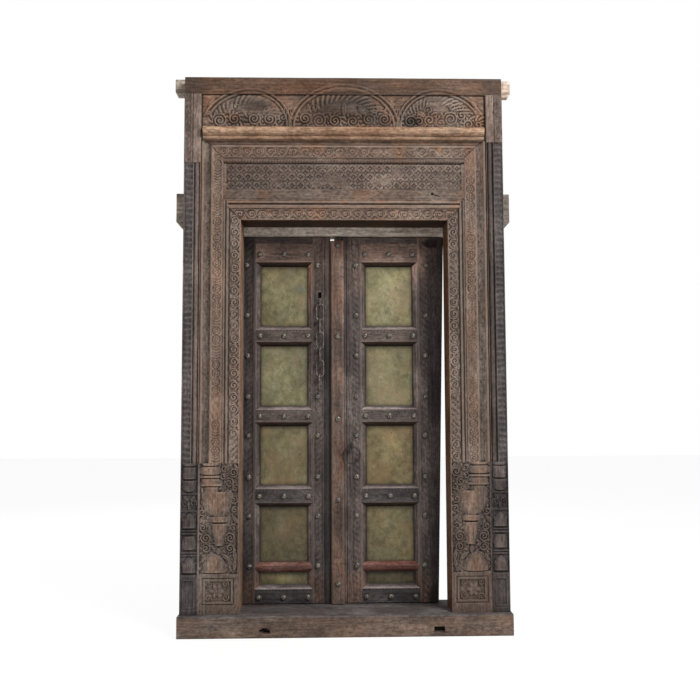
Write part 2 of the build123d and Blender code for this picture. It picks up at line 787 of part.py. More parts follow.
def make_leaf(name, side, meeting_edge, width, meeting_stile_width, meeting_stud_inset, chain_span):
    """All the pieces of one leaf that are fixed together, by node name."""

    def at(u):
        return meeting_edge + side * u

    def xz(points):
        return [(at(u), z) for u, z in points]

    def xy(points):
        return [(at(u), y) for u, y in points]

    strip_in = width - edge_strip_width
    hang_in = strip_in - hanging_stile_width
    brass_in = meeting_stile_width + bevel_width
    brass_out = hang_in - bevel_width
    split = (brass_in + brass_out) / 2
    foot_y = board_front - bevel_foot
    pieces = {}

    meeting = [(0, leaf_front), (meeting_stile_width, leaf_front), (brass_in, foot_y)]
    meeting += [(brass_in, board_front), (0, board_front)]
    stile = post(xy(meeting), leaf_bottom, leaf_top)
    if chain_span:
        z = chain_span[1] + keyhole_rise
        x = chain_x - keyhole_width / 2
        depth = leaf_front + keyhole_depth
        hole = block(x, x + keyhole_width, leaf_front - overrun, depth, z, z + keyhole_height)
        stile = stile.cut(hole)
    pieces["meeting_stile"] = one_solid(stile)

    hanging = [(brass_out, board_front), (brass_out, foot_y), (hang_in, leaf_front)]
    hanging += [(strip_in, leaf_front), (strip_in, board_front)]
    strip_foot = (strip_in - leaf_taper, leaf_bottom)
    strip_head = (strip_in, leaf_top)
    edge_foot = (width - leaf_taper, leaf_bottom)
    edge_head = (width, leaf_top)
    lean = [(brass_out, leaf_bottom), strip_foot, strip_head, (brass_out, leaf_top)]
    whole = post(xy(hanging), leaf_bottom, leaf_top)
    pieces["hanging_stile"] = one_solid(whole & plate(xz(lean), leaf_front, board_front))

    strip = [strip_foot, edge_foot, edge_head, strip_head]
    pieces["edge_strip"] = one_solid(plate(xz(strip), leaf_front, board_front))

    board = [(split, leaf_bottom), edge_foot, edge_head, (split, leaf_top)]
    pin_x = at(width - pin_inset)
    pins = [
        upright_round(pin_x, pivot_y, pin_radius, leaf_bottom - bottom_pin_length, leaf_bottom),
        upright_round(pin_x, pivot_y, pin_radius, leaf_top, leaf_top + top_pin_length),
    ]
    pieces["hanging_board"] = one_solid(plate(xz(board), board_front, leaf_back).fuse(*pins))
    x0, x1 = sorted((at(0), at(split)))
    pieces["meeting_board"] = one_solid(block(x0, x1, board_front, leaf_back, leaf_bottom, leaf_top))

    scribe = [(meeting_stile_width, leaf_front), (hang_in, leaf_front), (brass_out, foot_y)]
    scribe += [(brass_out, board_front), (brass_in, board_front), (brass_in, foot_y)]
    between = post(xy(scribe), leaf_bottom, leaf_top)
    ends = sorted((at(meeting_stile_width), at(hang_in)))
    for rail_name, (z0, z1, lower_bevel, upper_bevel) in rail_rows().items():
        profile = [(board_front, z0)]
        profile += [(foot_y, z0), (leaf_front, z0 + rail_bevel_height)] if lower_bevel else [(leaf_front, z0)]
        profile += [(leaf_front, z1 - rail_bevel_height), (foot_y, z1)] if upper_bevel else [(leaf_front, z1)]
        profile += [(board_front, z1)]
        pieces[rail_name] = one_solid(rail(profile, *ends) & between)

    bar_half = bar_height / 2
    bar_middle = sill_height + bar_bottom + bar_half
    bar_rise = stile_thickness - bar_setback
    angles = [pi * k / round_steps for k in range(round_steps + 1)]
    half_round = [(board_front - bar_rise * sin(a), bar_middle + bar_half * cos(a)) for a in angles]
    pieces["round_bar"] = one_solid(rail(half_round, *ends) & between)

    sheet_x = sorted((at(brass_in), at(brass_out)))
    sheet_front = board_front - brass_thickness
    for k, (z0, z1) in enumerate(brass_rows(), 1):
        pieces[f"brass_panel_{k}"] = one_solid(block(*sheet_x, sheet_front, board_front, z0, z1))

    studs = []
    stud_foot = stile_stud_heights[0]
    stud_rise = stile_stud_heights[-1] - stud_foot
    for height in stile_stud_heights:
        z = sill_height + height
        lean_here = stud_lean * (height - stud_foot) / stud_rise
        studs.append(stud(at(hang_in + hanging_stud_inset - stud_lean / 2 + lean_here), z, leaf_front))
        if chain_span and chain_span[0] < z < chain_span[1]:
            continue
        studs.append(stud(at(meeting_stud_inset), z, leaf_front))
    rows = [sill_height + bottom_rail_stud_height, leaf_top - top_rail_stud_drop]
    rows += [(z0 + z1) / 2 for z0, z1, low, high in rail_rows().values() if low and high]
    for z in rows:
        for u in (brass_in - rail_stud_inset, split, brass_out + rail_stud_inset):
            studs.append(stud(at(u), z, leaf_front))
    pieces["studs"] = studs
    return {f"{name}_{piece}": shape for piece, shape in pieces.items()}


def make_astragal():
    """The cover strip on the right leaf, which stands over the joint between the leaves."""
    x0 = right_meeting_edge - astragal_lap
    x1 = x0 + astragal_width
    front = leaf_front - astragal_thickness
    cut = astragal_chamfer
    outline = [(x0, leaf_front), (x0, front + cut), (x0 + cut, front)]
    outline += [(x1 - cut, front), (x1, front + cut), (x1, leaf_front)]
    return one_solid(post(outline, leaf_bottom, leaf_top - astragal_end_gap))


def make_astragal_studs():
    """The studs down the astragal."""
    x = right_meeting_edge - astragal_lap + astragal_stud_inset
    front = leaf_front - astragal_thickness
    return [stud(x, sill_height + height, front) for height in astragal_stud_heights]


# Chain and pull ring, as loops of wire whose section is an octagon

def flat_loop(outer, inner, thickness, chamfer_size):
    """A closed loop of wire in the XZ plane, about y = 0, between two outlines."""
    half = thickness / 2
    solid = one_solid(plate(outer, -half, half).cut(plate(inner, -half, half)))
    rims = [*solid.edges().group_by(Axis.Y)[0], *solid.edges().group_by(Axis.Y)[-1]]
    return one_solid(solid.chamfer(chamfer_size, None, rims))


corner_growth_share = 2 - sqrt(2)


def link_outline(half_width, half_length, corner):
    """A long octagon."""
    upper = [(half_width, half_length - corner), (half_width - corner, half_length)]
    upper += [(-x, z) for x, z in reversed(upper)]
    return upper + [(-x, -z) for x, z in upper]


def make_link():
    """One chain link, about its own middle."""
    half_width = link_width / 2
    half_length = link_length / 2
    outer_corner = link_corner + link_wire * corner_growth_share
    outer = link_outline(half_width + link_wire, half_length + link_wire, outer_corner)
    inner = link_outline(half_width, half_length, link_corner)
    return flat_loop(outer, inner, link_wire, link_chamfer)


def make_staple(x, seat_top, loop_middle, wire_reach):
    """A bent wire driven into the leaf, whose lower arm carries a hanging loop on its top side."""
    front = loop_middle - wire_reach - staple_wire
    back = front + staple_wire
    low = seat_top - staple_wire
    gap_top = seat_top + wire_reach * 2
    high = gap_top + staple_wire
    outline = [(leaf_front, low), (front, low), (front, high), (leaf_front, high)]
    gap = [(leaf_front, seat_top), (back, seat_top), (back, gap_top), (leaf_front, gap_top)]
    half = staple_wire / 2
    return one_solid(rail(outline, x - half, x + half).cut(rail(gap, x - half, x + half)))


def make_chain():
    """The staple and the links, each turned a quarter from the one above, with the last one hanging askew."""
    y = leaf_front - chain_standoff
    link = make_link()
    pitch = link_length - link_play
    first_middle = sill_height + chain_top_height - link_wire - link_length / 2
    seat = first_middle + link_length / 2 - link_play
    pieces = {"chain_staple": make_staple(chain_x, seat, y, link_wire)}
    for k in range(link_count):
        turn = 0 if k % 2 == 0 else quarter_turn
        if k == link_count - 1:
            turn -= last_link_turn
        pieces[f"chain_link_{k + 1}"] = Pos(chain_x, y, first_middle - pitch * k) * Rot(0, 0, turn) * link
    return pieces


def make_ring():
    """The staple and the ring that hangs in it."""
    y = leaf_front - ring_standoff
    middle = sill_height + ring_top_height - ring_radius
    half_step = pi / ring_sides
    turn = quarter_turn + degrees(half_step)
    outer = ring_of(0, 0, ring_radius / cos(half_step), ring_sides, turn)
    inner = ring_of(0, 0, (ring_radius - ring_wire) / cos(half_step), ring_sides, turn)
    ring = flat_loop(outer, inner, ring_wire, ring_chamfer)
    seat = middle + ring_radius - ring_wire - ring_play
    return {
        "ring_staple": make_staple(ring_x, seat, y, ring_wire),
        "pull_ring": Pos(ring_x, y, middle) * ring,
    }


chain_hang = (link_length - link_play) * (link_count - 1) + link_length + link_wire * 2
chain_bottom_height = chain_top_height - chain_hang
left_width = opening_half_width + left_edge_lap + left_meeting_edge
right_width = opening_half_width + right_edge_lap - right_meeting_edge
nodes = {
    "sill": make_sill(),
    "left_jamb": make_jamb(-1),
    "right_jamb": make_jamb(1),
    "left_pilaster": make_pilaster(-1, left_pilaster_height),
    "right_pilaster": make_pilaster(1, right_pilaster_height),
    "left_capital": make_capital(-1, sill_height + left_pilaster_height),
    "right_capital": make_capital(1, sill_height + right_pilaster_height),
    "lintel": make_lintel(),
    "lattice_panel": make_lattice_panel(),
    "head_architrave": make_head_architrave(),
    "cornice": make_cornice(),
    "frieze": make_frieze(),
    "top_rail": make_top_rail(),
    "top_beam": make_top_beam(),
    "tie_plank": make_tie_plank(),
    "pivot_beam": make_pivot_beam(),
    "astragal": make_astragal(),
}
chain_span = (sill_height + chain_bottom_height, sill_height + chain_top_height)
nodes |= make_leaf(
    "left", -1, left_meeting_edge, left_width, left_meeting_stile_width, left_meeting_stud_inset, chain_span
)
nodes |= make_leaf(
    "right", 1, right_meeting_edge, right_width, right_meeting_stile_width, right_meeting_stud_inset, None
)
nodes["right_studs"] += make_astragal_studs()
nodes |= make_chain()
nodes |= make_ring()

os.makedirs("parts", exist_ok=True)
for node, shape in nodes.items():
    group = Compound(children=shape) if isinstance(shape, list) else shape
    export_step(group, f"parts/{node}.step")
print(len(nodes), "nodes")
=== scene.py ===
import bmesh
import bpy
import numpy as np
from functools import reduce
from math import cos, pi, radians, sin
from mathutils import Matrix, Vector


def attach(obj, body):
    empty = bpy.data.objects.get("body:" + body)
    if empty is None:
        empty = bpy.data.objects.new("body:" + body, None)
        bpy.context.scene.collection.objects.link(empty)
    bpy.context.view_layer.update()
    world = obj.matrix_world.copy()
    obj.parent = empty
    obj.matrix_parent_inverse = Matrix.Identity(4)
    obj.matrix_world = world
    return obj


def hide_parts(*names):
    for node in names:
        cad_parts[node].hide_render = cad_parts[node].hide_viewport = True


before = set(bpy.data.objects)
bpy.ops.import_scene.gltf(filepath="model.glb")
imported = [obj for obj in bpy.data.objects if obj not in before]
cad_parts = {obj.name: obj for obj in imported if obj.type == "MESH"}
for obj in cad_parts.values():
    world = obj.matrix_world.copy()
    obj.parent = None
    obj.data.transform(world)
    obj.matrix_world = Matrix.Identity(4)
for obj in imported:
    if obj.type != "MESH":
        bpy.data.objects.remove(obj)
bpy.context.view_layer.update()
mm = 0.001
print("frame loaded:", len(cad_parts), "nodes")


# ramps from 0 at a to 1 at b, by 3t^2 - 2t^3
def ramp(a, b, t):
    t = np.clip((t - a) / (b - a), 0, 1)
    return t * t * (3 - 2 * t)


# wave from 0 to 1: a half and half the cosine of an angle
def wave(angle):
    return 0.5 + 0.5 * np.cos(angle)


# rounded ridge: 1 on the line, falling by a cosine to 0 at the half width
def ridge(d, halfWidth):
    return wave(pi * np.clip(np.abs(d) / halfWidth, 0, 1))


# half-round: the height of a circle's upper half at distance d from its middle
def halfRound(d, radius):
    return np.sqrt(np.clip(1 - (d / radius) ** 2, 0, 1))


# the highest of several forms at each point
def highest(*forms):
    return reduce(np.maximum, forms)


# places from low to high by the step, with the high end and any extra ones among them
def spaced(low, high, step, extra=()):
    return np.unique(np.concatenate([np.arange(low, high, step), [high], extra]))


# grids of a right-hand piece, or of its left-hand twin: columns turned round and x counted the other way
def mirrored(side, x, *grids):
    if side > 0:
        return x, *grids
    return -x[:, ::-1], *(g[:, ::-1] for g in grids)


# smooth noise from -1 to 1: random heights on whole numbers, blended between by 3t^2 - 2t^3
def noise(u, v, seed):
    iu, iv = np.floor(u), np.floor(v)
    fu, fv = u - iu, v - iv
    su, sv = fu * fu * (3 - 2 * fu), fv * fv * (3 - 2 * fv)

    def corner(a, b):
        h = np.sin(a * 12.9898 + b * 78.233 + seed * 37.719) * 43758.5453
        return 2 * (h - np.floor(h)) - 1

    low = corner(iu, iv) * (1 - su) + corner(iu + 1, iv) * su
    high = corner(iu, iv + 1) * (1 - su) + corner(iu + 1, iv + 1) * su
    return low * (1 - sv) + high * sv


# three octaves of that noise, each half as high and twice as fine
def roughness(u, v, seed):
    return (noise(u, v, seed) + noise(u * 2, v * 2, seed + 1) / 2 + noise(u * 4, v * 4, seed + 2) / 4) / 1.75


# mean over a square window, by running sums along both ways of the grid
def windowMean(h, reach):
    for axis in (0, 1):
        pad = [(0, 0), (0, 0)]
        pad[axis] = (reach + 1, reach)
        total = np.cumsum(np.pad(h, pad, mode="edge"), axis=axis)
        n = h.shape[axis]
        ahead = np.take(total, np.arange(2 * reach + 1, 2 * reach + 1 + n), axis=axis)
        behind = np.take(total, np.arange(n), axis=axis)
        h = (ahead - behind) / (2 * reach + 1)
    return h


# puts points and faces into a new object that rides on a body and stands for its node;
# marks are values at the points that the finishes read: cavity, tone and warm
def makePiece(node, points, faces, body, finish, marks=None, sharp=55):
    material, slot = finish
    mesh = bpy.data.meshes.new("aged_" + node)
    mesh.from_pydata(points * mm, [], faces)
    for label in ("cavity", "tone", "warm"):
        values = np.zeros(len(points), np.float32)
        values[:] = marks[label] if marks else 0.0
        mesh.attributes.new(label, "FLOAT", "POINT").data.foreach_set("value", values)
    bm = bmesh.new()
    bm.from_mesh(mesh)
    bmesh.ops.holes_fill(bm, edges=[e for e in bm.edges if e.is_boundary], sides=0)
    bmesh.ops.recalc_face_normals(bm, faces=bm.faces)
    bm.to_mesh(mesh)
    bm.free()
    mesh.shade_smooth()
    mesh.set_sharp_from_angle(angle=radians(sharp))
    mesh.materials.append(material)
    piece = bpy.data.objects.new("aged_" + node, mesh)
    bpy.context.collection.objects.link(piece)
    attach(piece, body)
    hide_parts(node)


# carved boards: windows and share for the cavity, weld distance, and places of the two rings behind the rim
carvedBoard = dict(near=3, wide=12, wideShare=0.15, weld=0.01, frontRing=9.0, backRing=0.8, flat=1e-3)


# a carved board: the front is the grid (x, y, z) in millimetres, and its rim runs back to y = back;
# cavity is how far a point lies behind the mean of its neighbours, near ones and a wider ring
def makeRelief(node, x, y, z, back, body, finish, tone=0.0, warm=0.0, flankShading=(0.0, 0.0), dirtAndShade=1.0):
    rows, cols = x.shape
    hollow = y - windowMean(y, carvedBoard["near"])
    hollow = hollow + carvedBoard["wideShare"] * (y - windowMean(y, carvedBoard["wide"]))
    # the cavity, scaled by the dirt share, darkens hollows in the finish: dirt and painted shade
    layers = dict(cavity=dirtAndShade * hollow, tone=tone, warm=warm)
    points = np.stack([x, y, z], -1).reshape(-1, 3)
    keys = np.round(points / carvedBoard["weld"]).astype(np.int64)
    _, first, same = np.unique(keys, axis=0, return_index=True, return_inverse=True)
    index = same.reshape(rows, cols)
    a, b, c, d = index[:-1, :-1], index[:-1, 1:], index[1:, 1:], index[1:, :-1]
    tris = np.concatenate([np.stack(t, -1).reshape(-1, 3) for t in ((a, b, c), (a, c, d))])
    front = points[first]
    p, q, r = (front[tris[:, k]] for k in range(3))
    area = (q[:, 0] - p[:, 0]) * (r[:, 2] - p[:, 2]) - (r[:, 0] - p[:, 0]) * (q[:, 2] - p[:, 2])
    tris = tris[np.abs(area) > carvedBoard["flat"]]
    edges = np.concatenate([tris[:, [0, 1]], tris[:, [1, 2]], tris[:, [2, 0]]])
    ends = np.sort(edges, axis=1)
    _, where, count = np.unique(ends[:, 0] * len(front) + ends[:, 1], return_index=True, return_counts=True)
    rim = edges[where[count == 1]]
    used = np.unique(rim)
    near, deep, behind = front[used].copy(), front[used].copy(), front[used].copy()
    near[:, 1] = np.minimum(near[:, 1] + carvedBoard["frontRing"], (near[:, 1] + back) / 2)
    deep[:, 1] = np.maximum(back - carvedBoard["backRing"], (near[:, 1] + back) / 2)
    behind[:, 1] = back
    lookup = np.zeros(len(front), np.int64)
    lookup[used] = len(front) + np.arange(len(used))
    p, q, ring = rim[:, 0], rim[:, 1], len(used)
    sides = [np.stack([q, p, lookup[p], lookup[q]], -1)]
    for k in (0, ring):
        sides.append(np.stack([lookup[q] + k, lookup[p] + k, lookup[p] + k + ring, lookup[q] + k + ring], -1))
    # the rim's walls take the given tone and warm: painted light and shade on the sides, such as the
    # doorway's reveals and the soffit
    flankShadingMarks = dict(cavity=0.0, tone=flankShading[0], warm=flankShading[1])
    marks = {}
    for label, layer in layers.items():
        values = np.broadcast_to(layer, x.shape).reshape(-1)[first]
        marks[label] = np.concatenate([values, np.full(2 * ring, flankShadingMarks[label]), np.zeros(ring)])
    faces = tris.tolist() + np.concatenate(sides).tolist()
    makePiece(node, np.concatenate([front, near, deep, behind]), faces, body, finish, marks)


# a bar: closed profiles of (y, z) at stations along x, one to each row of the grids; the ends are closed flat
def makeBar(node, xs, ys, zs, body, finish, tone=0.0, warm=0.0, sharp=40):
    stations, n = ys.shape
    points = np.stack([np.broadcast_to(xs.reshape(stations, -1), ys.shape), ys, zs], -1).reshape(-1, 3)
    i, j = np.meshgrid(np.arange(stations - 1), np.arange(n), indexing="ij")
    k = (j + 1) % n
    quads = np.stack([i * n + j, i * n + k, (i + 1) * n + k, (i + 1) * n + j], -1).reshape(-1, 4)
    marks = dict(cavity=0.0, tone=np.broadcast_to(tone, ys.shape).reshape(-1),
                 warm=np.broadcast_to(warm, ys.shape).reshape(-1))
    makePiece(node, points, quads.tolist(), body, finish, marks, sharp)


# points of a polygon whose corners are rounded by short arcs, in order
def roundedProfile(corners, radius, steps=4):
    corners = np.array(corners, float)
    before = np.roll(corners, 1, axis=0) - corners
    after = np.roll(corners, -1, axis=0) - corners
    before /= np.linalg.norm(before, axis=1)[:, None]
    after /= np.linalg.norm(after, axis=1)[:, None]
    t = np.linspace(0, 1, steps + 1)[None, :, None]
    start, end = corners + before * radius, corners + after * radius
    arc = (1 - t) ** 2 * start[:, None] + 2 * t * (1 - t) * corners[:, None] + t ** 2 * end[:, None]
    return arc.reshape(-1, 2)


# adds points along a closed profile so that no side is longer than the step
def densified(profile, step):
    parts = []
    for a, b in zip(profile, np.roll(profile, -1, axis=0)):
        count = max(1, int(np.ceil(np.linalg.norm(b - a) / step)))
        parts.append(a + (b - a) * np.linspace(0, 1, count, endpoint=False)[:, None])
    return np.concatenate(parts)


# round wire: a circle carried along a closed path, with frames from the path's tangent and a fixed side
def makeWire(node, path, side, radius, body, finish, sides=12):
    tangent = np.roll(path, -1, axis=0) - np.roll(path, 1, axis=0)
    tangent /= np.linalg.norm(tangent, axis=1)[:, None]
    normal = np.cross(tangent, side)
    normal /= np.linalg.norm(normal, axis=1)[:, None]
    binormal = np.cross(normal, tangent)
    a = np.linspace(0, 2 * pi, sides, endpoint=False)[None, :, None]
    wire = path[:, None] + radius * (normal[:, None] * np.cos(a) + binormal[:, None] * np.sin(a))
    n = len(path)
    i, j = np.meshgrid(np.arange(n), np.arange(sides), indexing="ij")
    i2, j2 = (i + 1) % n, (j + 1) % sides
    quads = np.stack([i * sides + j, i * sides + j2, i2 * sides + j2, i2 * sides + j], -1).reshape(-1, 4)
    makePiece(node, wire.reshape(-1, 3), quads.tolist(), body, finish, sharp=80)


# shader groups and finishes

# an empty shader group with its sockets; gives the group and its two ends
def newGroup(name, inputs, outputs):
    group = bpy.data.node_groups.new(name, "ShaderNodeTree")
    for socket, kind in inputs:
        group.interface.new_socket(socket, in_out="INPUT", socket_type="NodeSocket" + kind)
    for socket, kind in outputs:
        group.interface.new_socket(socket, in_out="OUTPUT", socket_type="NodeSocket" + kind)
    return group, group.nodes.new("NodeGroupInput"), group.nodes.new("NodeGroupOutput")


# sockets by name or number: an output is linked, a number or a colour is put in
def feed(tree, node, sockets):
    for name, value in sockets.items():
        if isinstance(value, bpy.types.NodeSocket):
            tree.links.new(value, node.inputs[name])
        else:
            node.inputs[name].default_value = value


# a shader node of a kind, with its settings and its sockets
def addNode(tree, kind, sockets=None, **settings):
    node = tree.nodes.new("ShaderNode" + kind)
    for name, value in settings.items():
        setattr(node, name, value)
    feed(tree, node, sockets or {})
    return node


# cloudy noise at a place, by scale, detail and roughness
def noiseNode(tree, vector, scale, detail, rough):
    sockets = {"Vector": vector, "Scale": scale, "Detail": detail, "Roughness": rough}
    return addNode(tree, "TexNoise", sockets).outputs["Fac"]


# 0 at low, top at high, by 3t^2 - 2t^3 between
def rampNode(tree, value, low, high, top=1.0):
    sockets = {"Value": value, "From Min": low, "From Max": high, "To Max": top}
    return addNode(tree, "MapRange", sockets, interpolation_type="SMOOTHSTEP").outputs["Result"]


# one reckoning with two values
def mathNode(tree, operation, a, b):
    return addNode(tree, "Math", {0: a, 1: b}, operation=operation).outputs[0]


# product of two values
def timesNode(tree, a, b):
    return mathNode(tree, "MULTIPLY", a, b)


# two colours mixed by a share, or one multiplied by the other
def mixNode(tree, share, a, b, blend="MIX"):
    a, b = ((*color, 1.0) if isinstance(color, tuple) else color for color in (a, b))
    return addNode(tree, "Mix", {0: share, 6: a, 7: b}, data_type="RGBA", blend_type=blend).outputs[2]


# old carved wood: fibres and blotches between three browns, red stain in patches, specks,
# dirt and painted shade in hollows and pale wear on high places
def makeTimberGroup():
    colors = [(k, "Color") for k in ("Dark", "Body", "Pale", "Red")]
    shares = [(k, "Float") for k in ("Cavity", "Red Share", "Wear", "Dirt And Shade")]
    tree, give, take = newGroup("oldTimber", [("Vector", "Vector"), ("Fibres", "Vector")] + colors + shares,
                                [("Color", "Color"), ("Roughness", "Float"), ("Height", "Float")])
    get = give.outputs
    grain = noiseNode(tree, get["Fibres"], 1.0, 6.0, 0.65)
    fine = noiseNode(tree, get["Fibres"], 3.1, 3.0, 0.6)
    blotch = noiseNode(tree, get["Vector"], 9.0, 5.0, 0.6)
    large = noiseNode(tree, get["Vector"], 2.3, 3.0, 0.55)
    specks = noiseNode(tree, get["Vector"], 95.0, 4.0, 0.7)
    color = mixNode(tree, rampNode(tree, grain, 0.32, 0.66), get["Dark"], get["Body"])
    paleMask = timesNode(tree, rampNode(tree, blotch, 0.42, 0.68), rampNode(tree, fine, 0.3, 0.62))
    color = mixNode(tree, paleMask, color, get["Pale"])
    redMask = timesNode(tree, rampNode(tree, large, 0.44, 0.66), get["Red Share"])
    color = mixNode(tree, redMask, color, get["Red"])
    shade = mathNode(tree, "ADD", rampNode(tree, specks, 0.3, 0.7, 0.8), 0.6)
    color = mixNode(tree, 1.0, color, shade, "MULTIPLY")
    high = rampNode(tree, timesNode(tree, get["Cavity"], -1.0), 0.15, 2.4)
    worn = timesNode(tree, timesNode(tree, high, get["Wear"]), rampNode(tree, fine, 0.15, 0.7))
    color = mixNode(tree, worn, color, get["Pale"])
    # hollows darkened towards near black: dirt and painted shade in the recesses
    deep = timesNode(tree, rampNode(tree, get["Cavity"], 0.1, 3.0), get["Dirt And Shade"])
    color = mixNode(tree, deep, color, (0.012, 0.010, 0.009))
    rough = mathNode(tree, "ADD", timesNode(tree, blotch, 0.25), 0.58)
    height = mathNode(tree, "ADD", timesNode(tree, grain, 0.7), timesNode(tree, fine, 0.3))
    feed(tree, take, {"Color": color, "Roughness": rough, "Height": height})
    return tree


# tint: brightness times four to the power of tone, and the hue turned to rust or to slate by warm
def makeTintGroup():
    tree, give, take = newGroup("wornTint", [("Color", "Color"), ("Tone", "Float"), ("Warm", "Float")],
                                [("Color", "Color")])
    scale = mathNode(tree, "POWER", 4.0, give.outputs["Tone"])
    color = mixNode(tree, 1.0, give.outputs["Color"], scale, "MULTIPLY")
    rust = mathNode(tree, "MAXIMUM", give.outputs["Warm"], 0.0)
    color = mixNode(tree, rust, color, (1.42, 0.91, 0.58), "MULTIPLY")
    slate = mathNode(tree, "MAXIMUM", timesNode(tree, give.outputs["Warm"], -1.0), 0.0)
    color = mixNode(tree, slate, color, (0.82, 1.0, 1.26), "MULTIPLY")
    feed(tree, take, {"Color": color})
    return tree


timberGroup = makeTimberGroup()
tintGroup = makeTintGroup()


# a new material with one shader led to its output
def newMaterial(name):
    material = bpy.data.materials.new(name)
    material.use_nodes = True
    tree = material.node_tree
    tree.nodes.clear()
    shader = addNode(tree, "BsdfPrincipled")
    addNode(tree, "OutputMaterial", {"Surface": shader.outputs[0]})
    return material, tree, shader


# places on the object, stretched by a scale along each axis
def objectPlace(tree, scale):
    place = addNode(tree, "TexCoord").outputs["Object"]
    return addNode(tree, "Mapping", {"Vector": place, "Scale": scale}).outputs["Vector"]


# a piece's own mark: cavity, tone or warm
def markNode(tree, label):
    return addNode(tree, "Attribute", attribute_name=label).outputs["Fac"]


# colour through the piece's own tone and warm marks into the shader
def paintTinted(tree, shader, color):
    sockets = {"Color": color, "Tone": markNode(tree, "tone"), "Warm": markNode(tree, "warm")}
    tinted = addNode(tree, "Group", sockets, node_tree=tintGroup)
    feed(tree, shader, {"Base Color": tinted.outputs["Color"]})


# fine relief from a height
def addBump(tree, shader, height, strength, distance):
    bump = addNode(tree, "Bump", {"Height": height, "Strength": strength, "Distance": distance})
    feed(tree, shader, {"Normal": bump.outputs["Normal"]})


# old woods: dark, body, pale and red as linear colours
woods = dict(
    surround=((0.090, 0.062, 0.047), (0.168, 0.118, 0.090), (0.270, 0.206, 0.166), (0.200, 0.110, 0.072)),
    pilaster=((0.036, 0.031, 0.030), (0.080, 0.066, 0.062), (0.165, 0.138, 0.127), (0.110, 0.066, 0.050)),
    capital=((0.085, 0.064, 0.053), (0.160, 0.124, 0.104), (0.280, 0.226, 0.194), (0.170, 0.110, 0.085)),
    cornice=((0.120, 0.074, 0.046), (0.255, 0.160, 0.103), (0.420, 0.300, 0.210), (0.260, 0.130, 0.075)),
    beam=((0.190, 0.155, 0.125), (0.360, 0.300, 0.250), (0.520, 0.465, 0.405), (0.330, 0.230, 0.165)),
    leaf=((0.030, 0.023, 0.021), (0.078, 0.058, 0.051), (0.180, 0.142, 0.124), (0.105, 0.058, 0.043)),
    cover=((0.055, 0.034, 0.026), (0.125, 0.080, 0.062), (0.250, 0.175, 0.138), (0.165, 0.076, 0.050)),
    redBar=((0.045, 0.018, 0.014), (0.130, 0.052, 0.040), (0.200, 0.115, 0.095), (0.160, 0.052, 0.034)),
)


# a wood whose fibres run along x or z, through the shared group
def makeTimber(name, slot, wood, along, redShare=0.3, wear=0.45, dirtAndShade=0.7):
    material, tree, shader = newMaterial(name)
    stretch = {"x": (5, 130, 130), "z": (130, 130, 5)}[along]
    drawn = {"x": (0.55, 1, 1), "z": (1, 1, 0.55)}[along]
    sockets = {"Vector": objectPlace(tree, drawn), "Fibres": objectPlace(tree, stretch),
               "Cavity": markNode(tree, "cavity"), "Red Share": redShare, "Wear": wear, "Dirt And Shade": dirtAndShade}
    for label, color in zip(("Dark", "Body", "Pale", "Red"), woods[wood]):
        sockets[label] = (*color, 1.0)
    timber = addNode(tree, "Group", sockets, node_tree=timberGroup)
    paintTinted(tree, shader, timber.outputs["Color"])
    feed(tree, shader, {"Roughness": timber.outputs["Roughness"], "Specular IOR Level": 0.25})
    addBump(tree, shader, timber.outputs["Height"], 0.5, 0.0012)
    return material, slot


uprightTimber = makeTimber("surroundUpright", "surround_timber", "surround", "z", wear=0.75, dirtAndShade=0.9)
levelTimber = makeTimber("surroundLevel", "surround_timber", "surround", "x", wear=0.6, dirtAndShade=0.8)
darkTimber = makeTimber("pilasterUpright", "dark_timber", "pilaster", "z", redShare=0.2)
capitalTimber = makeTimber("capitalUpright", "dark_timber", "capital", "z", redShare=0.2)
corniceTimber = makeTimber("corniceLevel", "cornice_timber", "cornice", "x")
beamTimber = makeTimber("sawnBeam", "beam_timber", "beam", "x")
stileTimber = makeTimber("leafUpright", "leaf_timber", "leaf", "z", redShare=0.35)
railTimber = makeTimber("leafLevel", "leaf_timber", "leaf", "x", redShare=0.35)
coverTimber = makeTimber("coverStrip", "leaf_timber", "cover", "z")
barTimber = makeTimber("redBar", "red_timber", "redBar", "x")


# stained brass: olive blotches, then tan clouds, brown upright streaks, pale scratches and dull spots
def makeBrass():
    material, tree, shader = newMaterial("stainedBrass")
    place = objectPlace(tree, (1, 1, 1))
    streak = noiseNode(tree, objectPlace(tree, (60, 60, 30)), 1.0, 5.0, 0.65)
    scratch = noiseNode(tree, objectPlace(tree, (140, 140, 75)), 1.0, 5.0, 0.75)
    blotch = noiseNode(tree, place, 30.0, 7.0, 0.74)
    large = noiseNode(tree, place, 7.0, 4.0, 0.6)
    spots = noiseNode(tree, place, 120.0, 3.0, 0.65)
    color = mixNode(tree, rampNode(tree, blotch, 0.30, 0.70), (0.116, 0.101, 0.042), (0.262, 0.234, 0.120))
    stains = [  # pattern, where it starts and is full, share, colour
        (large, 0.44, 0.68, 0.7, (0.245, 0.185, 0.100)),
        (streak, 0.52, 0.72, 0.5, (0.085, 0.076, 0.040)),
        (scratch, 0.52, 0.72, 0.5, (0.400, 0.375, 0.270)),
        (spots, 0.58, 0.70, 0.6, (0.060, 0.055, 0.035)),
    ]
    for pattern, start, full, share, stain in stains:
        color = mixNode(tree, rampNode(tree, pattern, start, full, share), color, stain)
    paintTinted(tree, shader, color)
    rough = mathNode(tree, "ADD", timesNode(tree, streak, 0.25), 0.42)
    feed(tree, shader, {"Metallic": 0.3, "Roughness": rough})
    addBump(tree, shader, blotch, 0.35, 0.002)
    return material, "aged_brass"


